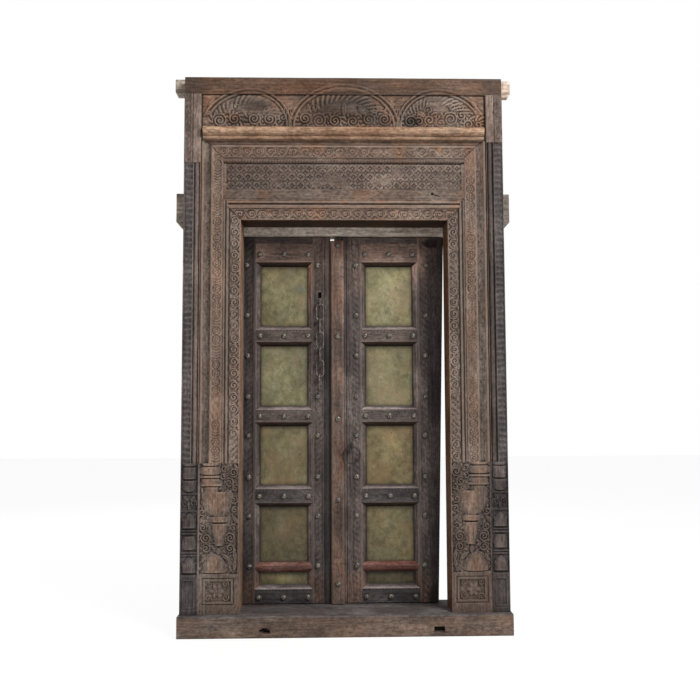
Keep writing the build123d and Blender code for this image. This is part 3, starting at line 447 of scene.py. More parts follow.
# forged iron: black scale with rust blotches and rubbed places
def makeIron(name, rust, rubbed, share):
    material, tree, shader = newMaterial(name)
    place = objectPlace(tree, (1, 1, 1))
    blotch = noiseNode(tree, place, 60.0, 5.0, 0.65)
    fine = noiseNode(tree, place, 300.0, 3.0, 0.6)
    color = mixNode(tree, rampNode(tree, blotch, 0.38, 0.62), (0.026, 0.023, 0.022), rust)
    color = mixNode(tree, rampNode(tree, fine, 0.46, 0.66, share), color, rubbed)
    rough = mathNode(tree, "ADD", timesNode(tree, blotch, 0.3), 0.30)
    feed(tree, shader, {"Base Color": color, "Metallic": 0.45, "Roughness": rough})
    addBump(tree, shader, fine, 0.4, 0.0006)
    return material, "forged_iron"


brass = makeBrass()
ringIron = makeIron("ringIron", (0.045, 0.036, 0.032), (0.120, 0.112, 0.100), 0.2)
chainIron = makeIron("chainIron", (0.135, 0.098, 0.082), (0.270, 0.230, 0.205), 0.8)
studIron = makeIron("studIron", (0.120, 0.098, 0.075), (0.440, 0.415, 0.350), 0.8)
print("finishes made")


# carving patterns: u runs across a band from its middle, v along it, in millimetres; heights from 0 to 1

# volute: the cosine of the radius over the pitch less the angle, fading out at the rim
def volute(u, v, size, hand, pitch):
    r = np.hypot(u, v)
    return wave(2 * pi * r / pitch - hand * np.arctan2(v, u)) * ramp(1.08, 0.94, r / size)


# curls laid over a form, each by its place, height, size and hand
def withCurls(form, u, v, curls, pitch, share=1.0):
    return highest(form, *(share * volute(u - x, v - z, size, hand, pitch) for x, z, size, hand in curls))


# flower: petals swell with the cosine of the angle, round a domed eye
def flower(u, v, size, petals):
    r = np.hypot(u, v) / size
    lobe = np.abs(np.cos(petals * np.arctan2(v, u) / 2))
    petal = halfRound(r / (0.62 + 0.38 * lobe) - 0.55, 0.45) * (r > 0.2)
    return np.maximum(petal * (0.65 + 0.35 * lobe), halfRound(r, 0.26))


# leaf: a pointed oval with a vein down its middle
def leaf(u, v, length, width, turn):
    p = u * np.cos(turn) + v * np.sin(turn)
    q = v * np.cos(turn) - u * np.sin(turn)
    half = width * np.clip(1 - (p / length) ** 2, 1e-3, 1)
    inside = (np.abs(p) < length) * (np.abs(q) < half)
    return inside * halfRound(q, half) * (1 - 0.45 * ridge(q, width * 0.28))


# leaves laid over a form, each by its place, height, length, width and turn
def withLeaves(form, u, v, sprays, share=1.0):
    return highest(form, *(share * leaf(u - x, v - z, *sizes) for x, z, *sizes in sprays))


# running curls: in each step an eye in a ring, a notched crescent round it and slanting strokes between;
# stretches of slanting leaves alone, worked out from the cosine of a slanted distance, take turns with them
curl = dict(pitch=51.0, eye=17.0, eyePitch=10.5, crescent=19.5, stroke=11.0, strokeFrom=24.0)


def curlBand(u, v, seed, slanting=0.6):
    pitch = curl["pitch"]
    k = np.floor(v / pitch)
    w = v - (k + 0.5) * pitch
    hand = np.where(noise(k, k * 0 + 0.5, seed) > -0.2, 1, -1)
    r, a = np.hypot(u, w), np.arctan2(w, u)
    eye = wave(2 * pi * r / curl["eyePitch"] - hand * a) ** 0.8 * ramp(curl["eye"], curl["eye"] - 3, r)
    notch = ramp(-0.9, 0.2, np.cos(a - 2.6 * hand))
    crescent = ridge(np.hypot(u - 2.5 * hand, w * 0.95) - curl["crescent"], 5.2) * notch
    strokes = 0.9 * wave(2 * pi * (w + hand * 0.6 * u) / curl["stroke"]) * (r > curl["strokeFrom"])
    along = (v + 0.55 * u + 5 * np.sin(pi * u / 21)) / pitch
    slant = wave(4 * pi * along) ** 0.6 * (0.78 + 0.22 * np.cos(16 * pi * along))
    share = slanting * ramp(0.05, 0.3, noise(v / (4 * pitch), v * 0 + 2.5, seed + 5))
    return highest(eye, crescent, strokes) * (1 - share) + slant * share


# rosettes in a row, rings and petals in a circle, some given up to slanting strokes;
# gives the worn face that is left round them, and where the cutting is
rosette = dict(pitch=36.5, rim=16.5, eye=6.0, petals=6, stroke=12.0)


def rosetteBand(u, v, seed):
    k = np.floor(v / rosette["pitch"])
    w = v - (k + 0.5) * rosette["pitch"]
    r = np.hypot(u, w)
    petals = wave(rosette["petals"] * np.arctan2(w, u) + 5 * noise(k, k * 0 + 1.5, seed))
    petals = 0.85 * (1 - petals) * ramp(6, 8, r) * ramp(16, 13, r)
    rose = highest(ridge(r - rosette["rim"], 4.4), ridge(r - rosette["eye"], 3.6), petals) * ramp(20, 18, r)
    strokes = 0.8 * wave(2 * pi * (w - 0.45 * np.abs(u)) / rosette["stroke"]) * ramp(18, 15, np.abs(u))
    cut = np.where(noise(k, k * 0 + 3.5, seed + 7) > -0.15, rose, strokes)
    kept = 1 - 0.5 * ramp(0.0, 0.6, noise(u / 70, v / 130, seed + 3))
    return 1 - cut * kept, ramp(19, 16, np.abs(u)) * kept


# overlapping circles: leaves along both diagonals of a square net meet four and four, a bead in each space
def circleNet(u, v, pitch):
    a, b = (u + v) / pitch, (v - u) / pitch
    fa, fb = a - np.floor(a) - 0.5, b - np.floor(b) - 0.5
    da, db = a - np.round(a), b - np.round(b)
    net = 0.9 * halfRound(np.hypot(fa, fb), 0.17)
    for across, along in ((db, fa), (da, fb)):
        half = 0.25 * np.clip(1 - 4 * along ** 2, 1e-3, 1)
        net = np.maximum(net, halfRound(across, half) * (1 - 0.4 * ridge(across, 0.07)))
    return net


# turned forms seen from the front: half widths by height, bulging as a half circle across
def turnedForm(s, z, heights, widths):
    half = np.interp(z, heights, widths, left=0, right=0)
    bulge = np.clip(1 - (s / np.maximum(half, 1e-3)) ** 2, 0, 1) ** 0.52
    return np.where(np.abs(s) < half, bulge, 0) * (half / max(widths)) ** 0.25


# edges and levels that the pieces of the frame share
uprights = dict(opening=449.0, mitre=505.0, panel=525.0, jamb=622.0, outer=695.0)
levels = dict(sill=90.0, foot=716.0, lintel=1764.0, panel=1852.0, band=2012.0, upper=2039.0, cornice=2115.0,
              frieze=2173.0, rail=2321.0, top=2400.0)

# jambs: bands and mouldings across from the doorway's edge; toneAt, tones and warms follow the same distance
jamb = dict(
    bandCut=5.5, depth=150.0, step=2.65, shift=dict(left_jamb=0.0, right_jamb=-0.15),
    toneAt=[0, 4, 8, 44, 48, 62, 66, 76, 80, 125, 130, 156, 160, 169, 172],
    tones=[0.15, 0.12, 0.12, 0.12, -0.1, 0.05, -0.12, 0.0, 0.06, 0.06, -0.12, -0.12, -0.04, -0.04, -0.4],
    warms=[0.2, 0, -0.1, -0.1, 0, 0, 0, 0, 0.2, 0.2, -0.15, -0.15, 0.15, 0.15, 0],
    forms=[
        (16, [262, 270, 300, 325, 340], [52, 54, 48, 34, 8]),
        (-4, [372, 390, 455, 466], [18, 22, 34, 36]),
        (0, [470, 474, 490, 493], [34, 40, 40, 34]),
        (5, [494, 502, 525, 560, 590, 598], [14, 34, 56, 68, 66, 58]),
        (32, [598, 600, 618, 620], [30, 28, 30, 38]),
        (32, [621, 623, 630, 632], [46, 48, 48, 46]),
        (34, [633, 638, 648, 654], [36, 42, 42, 36]),
        (36, [655, 657, 664, 666], [48, 50, 50, 48]),
        (36, [668, 674, 686, 698, 704], [34, 45, 49, 45, 34]),
        (36, [705, 708, 716, 722], [26, 34, 42, 48]),
    ],
    curls=[
        (52, 405, 24, 1), (52, 362, 20, -1), (-50, 405, 24, -1), (-50, 362, 20, 1), (64, 448, 17, -1),
        (-62, 448, 17, 1), (-36, 588, 20, 1), (-62, 562, 18, -1), (-44, 636, 21, -1), (-70, 612, 15, 1),
        (-62, 678, 20, 1), (-24, 696, 15, -1), (-68, 522, 16, 1), (68, 512, 15, -1), (-20, 660, 13, 1),
    ],
    leaves=[
        (72, 480, 22, 9, 2.2), (-72, 480, 22, 9, 0.9), (40, 330, 22, 9, 2.5), (-32, 325, 26, 10, 0.7),
        (-70, 330, 26, 10, 1.4), (-70, 292, 24, 9, 1.7), (0, 350, 16, 11, 1.57), (-72, 700, 16, 8, 1.2),
        (-12, 500, 24, 8, 0.4), (62, 320, 20, 8, 1.9), (30, 372, 18, 7, 0.9),
    ],
    plinthCurls=[(40, 155, 16, 1), (-32, 158, 16, -1), (40, 215, 14, -1), (-32, 214, 15, 1)],
)


# carved band at a distance u from the opening's edge, sunk between two narrow fillets
def innerBand(u, v, seed, slanting=0.6):
    field = ramp(4.5, 6.5, u) * ramp(46.5, 44.5, u)
    cut = jamb["bandCut"] * field * (1 - curlBand(u - 25.5, v, seed, slanting))
    return -cut - 2.0 * ramp(3.0, 0.0, u) ** 2


# mouldings between the bands: two grooves with a fillet between them, and a small step
def innerMoulding(u):
    step = 3.0 * ramp(70, 76, u) * ramp(77, 75.5, u)
    return -5.0 * ridge(u - 49, 4) - 1.5 * ramp(52, 50, u) - 5.0 * ridge(u - 65, 6) - step


# rosettes, then a pitted half-round hollow, a bead and the step to the pilaster
def outerBand(u, v, face, seed):
    field = ramp(77.5, 79.5, u) * ramp(127.5, 125, u)
    pits = np.clip(roughness(u / 8, v / 11, seed + 9), 0, 1)
    hollow = (6.5 + 2.5 * pits) * halfRound(u - 143, 14.5)
    return -3.6 * field * (1 - face) - hollow - 4.0 * ramp(170, 173, u) - 5.0 * ridge(u - 158, 2.6)


# stacked turned forms among curls and leaves, over a framed plinth; gives the height and where forms crown,
# which takes a painted highlight
def jambFoot(s, z, seed):
    turned = highest(*(turnedForm(s - shift, z, heights, widths) for shift, heights, widths in jamb["forms"]))
    crownLight = ramp(0.55, 0.95, turned)
    forms = withCurls(turned, s, z, jamb["curls"], 11, 0.8)
    forms = withLeaves(forms, s, z, jamb["leaves"], 0.8)
    line = np.maximum(ridge(z - 384, 4) * (np.abs(s) < 40), ridge(z - 256, 5) * (s > -45))
    scrub = np.sin((s + 9 * noise(s / 17, z / 17, seed + 1)) / 3.4)
    scrub = scrub * np.sin((z + 9 * noise(s / 17, z / 17, seed + 2)) / 3.8)
    forms = highest(forms, 0.7 * line, 0.45 * np.clip(scrub, 0, 1))
    above = -7.5 + 10.5 * forms + 0.9 * roughness(s / 14, z / 14, seed)
    inset = np.minimum(78 - np.abs(s), np.minimum(z - 118, 250 - z))
    bloom = withCurls(flower(s - 4, z - 185, 32, 6), s, z, jamb["plinthCurls"], 9)
    plinth = -5.5 * ramp(24, 25.5, inset) - 4.5 * ridge(inset - 12, 3.4) + 6.0 * bloom * (inset > 26)
    side = ramp(83, 78, np.abs(s))
    return np.where(z > 256, above, plinth * ramp(100, 118, z)) * side, crownLight * (z > 256)


# the jamb's inner edge: upright, then mitred along the lintel and the upper band
def jambEdge(z):
    opening, panel = uprights["opening"], uprights["panel"]
    low = np.clip(opening + (z - levels["lintel"]), opening, uprights["mitre"])
    high = np.clip(panel + (z - levels["upper"]), panel, panel + levels["cornice"] - levels["upper"])
    return np.where(z > levels["panel"], high, low)


# bands by the distance from the doorway's edge above the foot, and the turned forms below
def buildJamb(side, node, seed, flankShading):
    step, notch, top = jamb["step"], levels["panel"], levels["cornice"]
    z = np.concatenate([np.arange(levels["sill"], notch, step), [notch]])
    zHigh = np.concatenate([[notch], np.arange(notch + step, top, step), [top]])
    edge = np.concatenate([jambEdge(z), [uprights["panel"]], jambEdge(zHigh[1:])])
    z = np.concatenate([z, zHigh])
    x = spaced(uprights["opening"], uprights["jamb"], step, [uprights["mitre"], uprights["panel"]])
    x, z = np.meshgrid(x, z)
    x = np.maximum(x, edge[:, None])
    u, v = x - uprights["opening"], z - levels["foot"]
    face, motif = rosetteBand(u - 102, v, seed + 20)
    motif = motif * ramp(78, 82, u) * ramp(127, 123, u)
    y = np.where(u < 47.5, innerBand(u, v, seed), 0) + np.where((u >= 44) & (u < 77), innerMoulding(u), 0)
    y = y + np.where(u >= 77, outerBand(u, v, face, seed), 0)
    foot, crownLight = jambFoot(x - 535.5, z, seed + 40)
    fade = ramp(712, 722, z)
    y = y * fade + foot * (1 - fade)
    y = np.maximum(-y + 0.7 * roughness(x / 30, z / 60, seed + 60), -3.0)
    tone = np.interp(u, jamb["toneAt"], jamb["tones"]) + 0.05 * motif
    warm = np.interp(u, jamb["toneAt"], jamb["warms"]) - 0.1 * motif
    # painted highlight: the foot is lighter and warmer where its forms crown
    tone = tone * fade + (0.2 * crownLight - 0.1) * (1 - fade)
    tone = tone + 0.10 * roughness(x / 90, z / 160, seed + 70) + jamb["shift"][node]
    warm = warm * fade + (0.4 * crownLight - 0.2) * (1 - fade) + 0.15 * noise(x / 60, z / 140, seed + 80)
    mitred = (z > 1766) * ((z < 1822) | (z > levels["upper"]))
    tone = tone - 0.7 * ramp(5, 0, x - edge[:, None]) * mitred
    x, y, z, tone, warm, dirtAndShade = mirrored(side, x, y, z, tone, warm, 0.65 + 0.35 * fade)
    makeRelief(node, x, y, z, jamb["depth"], "frame", uprightTimber, tone, warm, flankShading, dirtAndShade)


# the left jamb's reveal gets painted light, the right jamb's a dark warm painted shade
buildJamb(-1, "left_jamb", 11, (0.15, 0.35))
buildJamb(1, "right_jamb", 23, (-0.25, 0.9))
print("jambs carved")


# pilasters: a roll and a ladder of cross leaves, on a stack of turned forms and a plinth with a sunk panel
pilaster = dict(
    depth=150.0, step=2.8, proud=4.0, rung=25.0, tops=dict(left=2014.0, right=2108.0),
    rollTone=dict(left=0.42, right=-0.15), shift=dict(left=-0.08, right=-0.2), blockStep=(3.0, 3.6),
    forms=[
        ([262, 266, 292, 314, 326], [31, 31, 28, 17, 4]),
        ([358, 364, 392, 412], [27, 31, 30, 23]),
        ([448, 452, 478, 498, 508], [31, 31, 27, 16, 4]),
        ([597, 606, 636, 646], [12, 24, 31, 32]),
        ([652, 655, 674, 678, 700, 703], [25, 30, 31, 27, 31, 27]),
        ([705, 710, 718], [24, 31, 34]),
    ],
    lines=[334, 344, 424, 436, 518, 590],
    curls=[(17, 382, 14, 1), (-17, 382, 14, -1), (18, 550, 16, -1), (-18, 550, 16, 1), (20, 618, 13, 1)],
    leaves=[(15, 572, 17, 7, 0.8), (-15, 572, 17, 7, 2.3), (0, 534, 17, 7, 1.57), (22, 476, 17, 7, 1.1),
            (-22, 476, 17, 7, 2.0), (22, 292, 17, 7, 1.1), (-22, 292, 17, 7, 2.0)],
)


# roll by a half circle, and leaves across the strip that lean one way and the other
def pilasterFace(u, z, seed):
    roll = -12.5 * (1 - halfRound(u - 16.5, 12.5)) * (np.abs(u - 16.5) < 12.5)
    k = np.floor(z / pilaster["rung"])
    w = z - (k + 0.5) * pilaster["rung"]
    hand = np.where(noise(k, k * 0 + 0.5, seed) > 0, 1, -1)
    rungs = ridge(w - 0.12 * hand * (u - 51), 10.5) * ramp(17.5, 14.5, np.abs(u - 51))
    strip = ramp(33.5, 35, u) * ramp(69.5, 68, u)
    lines = 1.6 * ridge(u - 31, 2.2) + 0.8 * ridge(np.abs(u - 16.5) - 6, 2.0)
    return roll - 3.6 * strip * (1 - rungs) - lines + 0.5 * roughness(u / 20, z / 50, seed)


# turned forms between lines, curls and leaves, over the plinth; gives the height and where forms crown, which
# takes a painted highlight
def pilasterFoot(s, z, seed):
    forms = highest(*(turnedForm(s, z, heights, widths) for heights, widths in pilaster["forms"]))
    for height in pilaster["lines"]:
        forms = np.maximum(forms, 0.8 * ridge(z - height, 4.5) * (np.abs(s) < 31))
    forms = withCurls(forms, s, z, pilaster["curls"], 9, 0.8)
    forms = withLeaves(forms, s, z, pilaster["leaves"], 0.85)
    above = -7.5 + 10.0 * forms + 0.8 * roughness(s / 12, z / 14, seed)
    inset = np.minimum(36.5 - np.abs(s), np.minimum(z - 104, 246 - z))
    panel = -5.5 * ramp(16, 17.5, inset) - 2.5 * ridge(inset - 9, 3)
    foot = np.where(z > 254, above * ramp(35.5, 31.5, np.abs(s)), panel * ramp(98, 108, z))
    return foot, ramp(0.5, 0.95, forms)


# roll and ladder above, turned forms and plinth below, faded over a few millimetres
def buildPilaster(side, name, seed):
    node, step = name + "_pilaster", pilaster["step"]
    z = spaced(levels["sill"], pilaster["tops"][name], step)
    x, z = np.meshgrid(spaced(uprights["jamb"], uprights["outer"], step), z)
    u = x - uprights["jamb"]
    fade = ramp(714, 722, z)
    foot, crownLight = pilasterFoot(u - 36.5, z, seed + 4)
    y = pilasterFace(u, z, seed) * fade + foot * (1 - fade)
    y = np.maximum(-pilaster["proud"] - y, -7.0) + 0.8 * roughness(x / 40, z / 90, seed + 8)
    roll = ramp(33, 30, u)
    # painted highlight on the foot's crowns, in tone and in warm
    tone = (pilaster["rollTone"][name] * roll + 0.12 * (1 - roll)) * fade + (0.2 * crownLight - 0.05) * (1 - fade)
    tone = tone + pilaster["shift"][name] + 0.15 * roughness(x / 60, z / 200, seed + 9)
    tone = tone - 0.25 * ramp(255, 240, z) * ramp(108, 90, z)
    warm = 0.35 * roll * fade + 0.25 * crownLight * (1 - fade) - 0.1
    x, y, z, tone, warm, dirtAndShade = mirrored(side, x, y, z, tone, warm, 0.6 + 0.4 * fade)
    makeRelief(node, x, y, z, pilaster["depth"], "frame", darkTimber, tone, warm, (0.1, 0), dirtAndShade)


# blocks above the pilasters: two plain strips with faint worn leaves on the outer one
def buildCapital(side, name, seed):
    foot = pilaster["tops"][name]
    stepAcross, stepUp = pilaster["blockStep"]
    z = spaced(foot, levels["rail"], stepUp)
    x, z = np.meshgrid(spaced(uprights["jamb"], uprights["outer"], stepAcross), z)
    u = x - uprights["jamb"]
    outer = ramp(42, 45, u) * ramp(69, 66, u) * ramp(foot + 6, foot + 12, z)
    faint = 3.0 * outer * (1 - curlBand(u - 55.5, z - foot, seed))
    lip = 3.0 * ramp(3.5, 0, np.minimum(np.minimum(u, 73 - u), z - foot))
    y = -8.0 + 4.5 * ridge(u - 37, 2.8) + faint + lip + 0.9 * roughness(x / 30, z / 50, seed)
    tone = 0.12 * ramp(38, 34, u) - 0.15 * ramp(38, 44, u) + 0.1 * roughness(x / 50, z / 120, seed + 3)
    x, y, z, tone = mirrored(side, x, y, z, tone + pilaster["shift"][name])
    makeRelief(name + "_capital", x, y, z, pilaster["depth"], "frame", capitalTimber, tone, 0.15)


for side, name, seed in ((-1, "left", 31), (1, "right", 37)):
    buildPilaster(side, name, seed)
    buildCapital(side, name, seed + 10)
print("pilasters and blocks carved")


# head: the lintel's band, the fillet and netted panel, and the upper band under the cornice
head = dict(step=2.9, netFoot=1898.0, netPitch=38.0, netDepth=4.2, sunk=7.0, crack=(405.0, 1872.0),
            hole=(384.0, 1880.0), lintelBack=150.0, panelBack=60.0, bandBack=80.0)


# a grid over a level piece whose ends slant outwards: x is held within the half length at each height
def levelGrid(low, high, halfLength, step, extra=()):
    z = spaced(low, high, step, extra)
    reach = halfLength(z)
    count = int(np.ceil(2 * reach.max() / step))
    x = np.linspace(-reach.max(), reach.max(), count + 1)
    x, z = np.meshgrid(x, z)
    return np.clip(x, -reach[:, None], reach[:, None]), z


# darkening along the mitred ends of a level piece
def endShade(x):
    return 0.6 * ramp(4, 0, x.max(axis=1)[:, None] - np.abs(x))


# lintel: its carved band runs along x, with two grooves and a step above it
def buildLintel():
    foot, opening = levels["lintel"], uprights["opening"]
    mitre = uprights["mitre"] - opening
    x, z = levelGrid(foot, levels["panel"], lambda h: opening + np.clip(h - foot, 0, mitre),
                     head["step"], [foot + mitre])
    u = z - foot
    band = np.where(u < 47.5, innerBand(u, x + 20, 51, 0.2), 0)
    moulding = -5.0 * ridge(u - 50, 4) - 7.5 * ridge(u - 71, 6) - 3.0 * ramp(80, 86, u)
    y = -(band + np.where(u >= 44, moulding, 0)) + 0.6 * roughness(x / 60, z / 30, 52)
    tone = 0.06 - 0.25 * ridge(u - 71, 9) + 0.15 * roughness(x / 80, z / 40, 53)
    tone = tone - endShade(x) * (u < 57)
    warm = 0.3 * ramp(0.1, 0.6, noise(x / 55, z / 40, 54)) + 0.1
    # the soffit and the ends get a dark warm painted shade
    makeRelief("lintel", x, y, z, head["lintelBack"], "frame", levelTimber, tone, warm, (-1.3, 1.0))


# fillet with faint S-leaves, a crack and a hole near its right end, over a sunk net of circles,
# worn away in places
def buildPanel():
    foot, panel, netFoot = levels["panel"], uprights["panel"], head["netFoot"]
    x, z = levelGrid(foot, levels["band"], lambda h: panel + 0 * h, head["step"], [netFoot - 1, netFoot + 1])
    field = ramp(netFoot - 0.5, netFoot + 2, z + 1.2 * noise(x / 35, z * 0, 61))
    field = field * ramp(513.5, 511.5, np.abs(x))
    kept = 1 - 0.6 * ramp(0.1, 0.7, noise(x / 60, z / 45, 62))
    net = circleNet(x + 3 * noise(x / 50, z / 50, 66), z - netFoot, head["netPitch"])
    net = net * kept + 0.45 * (1 - kept)
    border = ridge(np.minimum(levels["band"] - 2 - z, z - netFoot - 1) - 3, 4.5)
    sLeaves = np.cos(2 * pi * (x + 9 * np.sin(pi * (z - foot - 4) / 20)) / 37)
    sLeaves = sLeaves * ramp(1857, 1862, z) * ramp(1893, 1888, z)
    fillet = 0.9 + 0.9 * sLeaves + 1.5 * ramp(0.35, 0.7, roughness(x / 40, z / 14, 63))
    fillet = fillet + 2.2 * ridge(z - 1857, 4)
    crackX, crackZ = head["crack"]
    crack = 5.0 * ridge(z - crackZ + 0.35 * (x - crackX), 3)
    crack = crack * ramp(crackX - 19, crackX - 13, x) * ramp(crackX + 19, crackX + 7, x)
    holeX, holeZ = head["hole"]
    hole = 6.0 * ramp(6.5, 4.5, np.hypot(x - holeX, z - holeZ))
    sunk = head["sunk"] - head["netDepth"] * np.maximum(net, 0.6 * border)
    y = field * sunk + (1 - field) * (fillet + crack + hole) + 0.5 * roughness(x / 50, z / 30, 65)
    tone = -0.12 * (1 - field) * ramp(1854, 1860, z) + field * (-0.06 - 0.22 * ramp(200, -450, x))
    # a little painted shade inside the hole
    tone = tone - 0.1 * hole + 0.16 * roughness(x / 70, z / 50, 67)
    warm = 0.35 * (1 - field) * ramp(-0.1, 0.5, noise(x / 70, z / 90, 68)) - 0.12 * field
    makeRelief("lattice_panel", x, y, z, head["panelBack"], "frame", levelTimber, tone, warm)


# a cove with a cut bead, then a band of curls and a ledge, mitred into the jambs
def buildUpperBand():
    foot, upper, top, panel = levels["band"], levels["upper"], levels["cornice"], uprights["panel"]
    x, z = levelGrid(foot, top, lambda h: panel + np.clip(h - upper, 0, top - upper), head["step"], [upper])
    cove = 14.0 * (1 - np.sin(np.clip((z - foot) / (upper - foot), 0, 1) * pi / 2))
    bead = -6.0 * halfRound(z - 2025, 6.5) * (0.6 + 0.4 * np.cos(2 * pi * x / 13))
    u = z - upper
    band = 4.2 * ramp(4, 6, u) * ramp(48.5, 46.5, u) * (1 - curlBand(u - 26, x - 10, 71, 0.3))
    ledge = 5.0 * ramp(54, 57, u) + 2.0 * ridge(u - 50, 2.5)
    y = np.where(u < 0, np.maximum(cove + bead, 0.5), band + ledge) + 0.6 * roughness(x / 60, z / 30, 72)
    # painted highlight on the ledge's upturned edge, painted shade over the cove and a dark painted shade
    # line above the bead
    tone = -0.06 + 0.25 * ridge(u - 52.5, 3.5) - 0.3 * (u < 0) - 0.8 * ridge(u + 1, 4)
    tone = tone + 0.14 * roughness(x / 80, z / 40, 73) - endShade(x) * (u > 1)
    warm = 0.35 * ramp(0.1, 0.6, noise(x / 60, z / 40, 74)) + 0.1
    makeRelief("head_architrave", x, y, z, head["bandBack"], "frame", levelTimber, tone, warm)


buildLintel()
buildPanel()
buildUpperBand()
print("head carved")


# cornice: a fillet and a half-round nose, carried along x with a slow wander
cornice = dict(half=612.0, stations=260, noseMiddle=(-12.0, 2153.0), noseRadius=20.0,
               fillet=[(58, 2173), (58, 2115), (-11, 2115), (-14, 2118), (-14, 2131), (-12, 2133)])


def buildCornice():
    a = np.linspace(-pi / 2, pi / 2, 15)
    y, z = cornice["noseMiddle"]
    roll = np.stack([y - cornice["noseRadius"] * np.cos(a), z + cornice["noseRadius"] * np.sin(a)], -1)
    profile = densified(np.concatenate([cornice["fillet"], roll]), 12.0)
    xs = np.linspace(-cornice["half"], cornice["half"], cornice["stations"])
    nose = (profile[:, 0] < 0)[None]
    height = profile[None, :, 1]
    ys = profile[None, :, 0] + nose * (0.7 + 1.1 * roughness(xs[:, None] / 60, height / 18, 81))
    zs = np.broadcast_to(height, ys.shape)
    stain = roughness(xs[:, None] / 70, height / 25, 82)
    # painted light on the top of the nose and painted shade under it; the stain is the wood's own
    tone = nose * (0.12 * ramp(2140, 2168, zs) - 0.5 * ramp(2124, 2116, zs) - 0.3 * ramp(0.1, 0.5, stain))
    makeBar("cornice", xs, ys, zs, "frame", corniceTimber, tone + 0.06, nose * (0.15 + 0.2 * stain))


# frieze: three arches of double lines, scrolls in a row at the foot, feathered fans and leaves below them
frieze = dict(
    spring=2176.0, arches=[(-406, 221, 180, 176), (0, 248, 248, 197), (406, 180, 221, 176)], arcLines=(6, 22),
    step=2.8, depth=8.0, back=58.0, columns=243.0, hole=(59.0, 2266.0),
    scrolls=[
        (-544, 2206, 33, 1), (-480, 2213, 27, -1), (-394, 2214, 30, 1), (-326, 2212, 30, -1),
        (-266, 2222, 24, 1), (-171, 2216, 30, -1), (-110, 2207, 34, 1), (-40, 2206, 28, -1),
        (38, 2204, 26, 1), (108, 2212, 30, -1), (178, 2213, 34, 1), (292, 2204, 30, -1), (330, 2204, 24, 1),
        (376, 2210, 24, 1), (425, 2200, 24, -1), (469, 2216, 34, 1), (518, 2233, 22, -1),
        (548, 2192, 22, 1), (588, 2190, 18, -1),
    ],
    leaves=[
        (-590, 2240, 30, 9, 0.5), (-505, 2262, 30, 10, 0.8), (-335, 2268, 30, 11, -0.7),
        (-210, 2275, 30, 12, 0.9), (210, 2280, 22, 12, 1.57), (-76, 2250, 30, 11, 0.7),
        (76, 2250, 30, 11, -0.7), (0, 2258, 34, 13, 1.57), (326, 2285, 34, 13, 0.6),
        (340, 2238, 24, 14, -0.5), (590, 2250, 30, 10, -0.6), (-440, 2250, 22, 9, 2.2),
        (-362, 2240, 24, 10, 0.4), (155, 2262, 24, 9, 2.2), (-155, 2262, 24, 9, 0.9),
        (238, 2282, 24, 11, 0.0), (-238, 2282, 22, 10, 0.3), (575, 2280, 26, 10, -0.9),
        (-580, 2290, 26, 9, 0.9),
    ],
    blooms=[
        (-343, 2259, 19, 1), (-306, 2262, 16, -1), (-512, 2252, 17, 1), (-474, 2268, 16, -1),
        (-132, 2262, 20, 1), (134, 2258, 20, -1), (172, 2262, 16, 1), (372, 2256, 19, 1),
        (512, 2270, 18, -1), (474, 2268, 19, 1),
    ],
    smudges=[
        (-395, 2275, 95, 36, -0.5), (-450, 2205, 90, 26, -0.3), (0, 2260, 220, 75, -0.6),
        (306, 2204, 52, 28, -0.7), (-110, 2205, 120, 34, -0.35), (120, 2208, 110, 36, -0.4),
        (-590, 2280, 40, 50, 0.2), (470, 2270, 120, 60, 0.22), (560, 2215, 70, 50, 0.2),
        (-250, 2200, 20, 40, -0.2),
    ],
)


# lines along each arch: ridges at set distances in from an ellipse with a half of its own to each side
def archBands(x, z):
    bands, inside, fans = np.zeros_like(x), np.zeros_like(x), np.zeros_like(x)
    for middle, left, right, rise in frieze["arches"]:
        across, up = (x - middle) / np.where(x < middle, left, right), (z - frieze["spring"]) / rise
        reach = np.hypot(across, up)
        d = (1 - reach) * rise
        for line in frieze["arcLines"]:
            bands = np.maximum(bands, ridge(d - line, 8.0))
        inside = np.maximum(inside, ramp(30, 34, d))
        feather = wave(44 * np.arctan2(up, across) + 44 * reach) ** 0.7
        feather = feather * ramp(0.56, 0.62, reach) * ramp(0.85, 0.81, reach)
        fans = np.maximum(fans, feather * ramp(0.3, 0.4, up))
    tail = np.where(np.abs(x) > 480, ramp(2226, 2246, z), 1)
    return bands * tail, inside, fans


# scrolls: round the nearest centre the cosine of the distance over the pitch less the angle, and
# radiating strokes in the spaces between them
def scrollWork(x, z):
    middle, height, size, hand = np.array(frieze["scrolls"], float).T
    dx, dz = x[..., None] - middle, z[..., None] - height
    r = np.hypot(dx, dz)
    nearest = np.argmin(r / size, axis=-1)[..., None]
    dx, dz, r = (np.take_along_axis(g, nearest, -1)[..., 0] for g in (dx, dz, r))
    size, hand = size[nearest[..., 0]], hand[nearest[..., 0]]
    angle = np.arctan2(dz, dx)
    scroll = wave(2 * pi * r / 13.5 - hand * angle) ** 0.7
    strokes = 0.8 * wave(11 * angle + r / 5)
    return np.where(r < size, scroll, strokes)


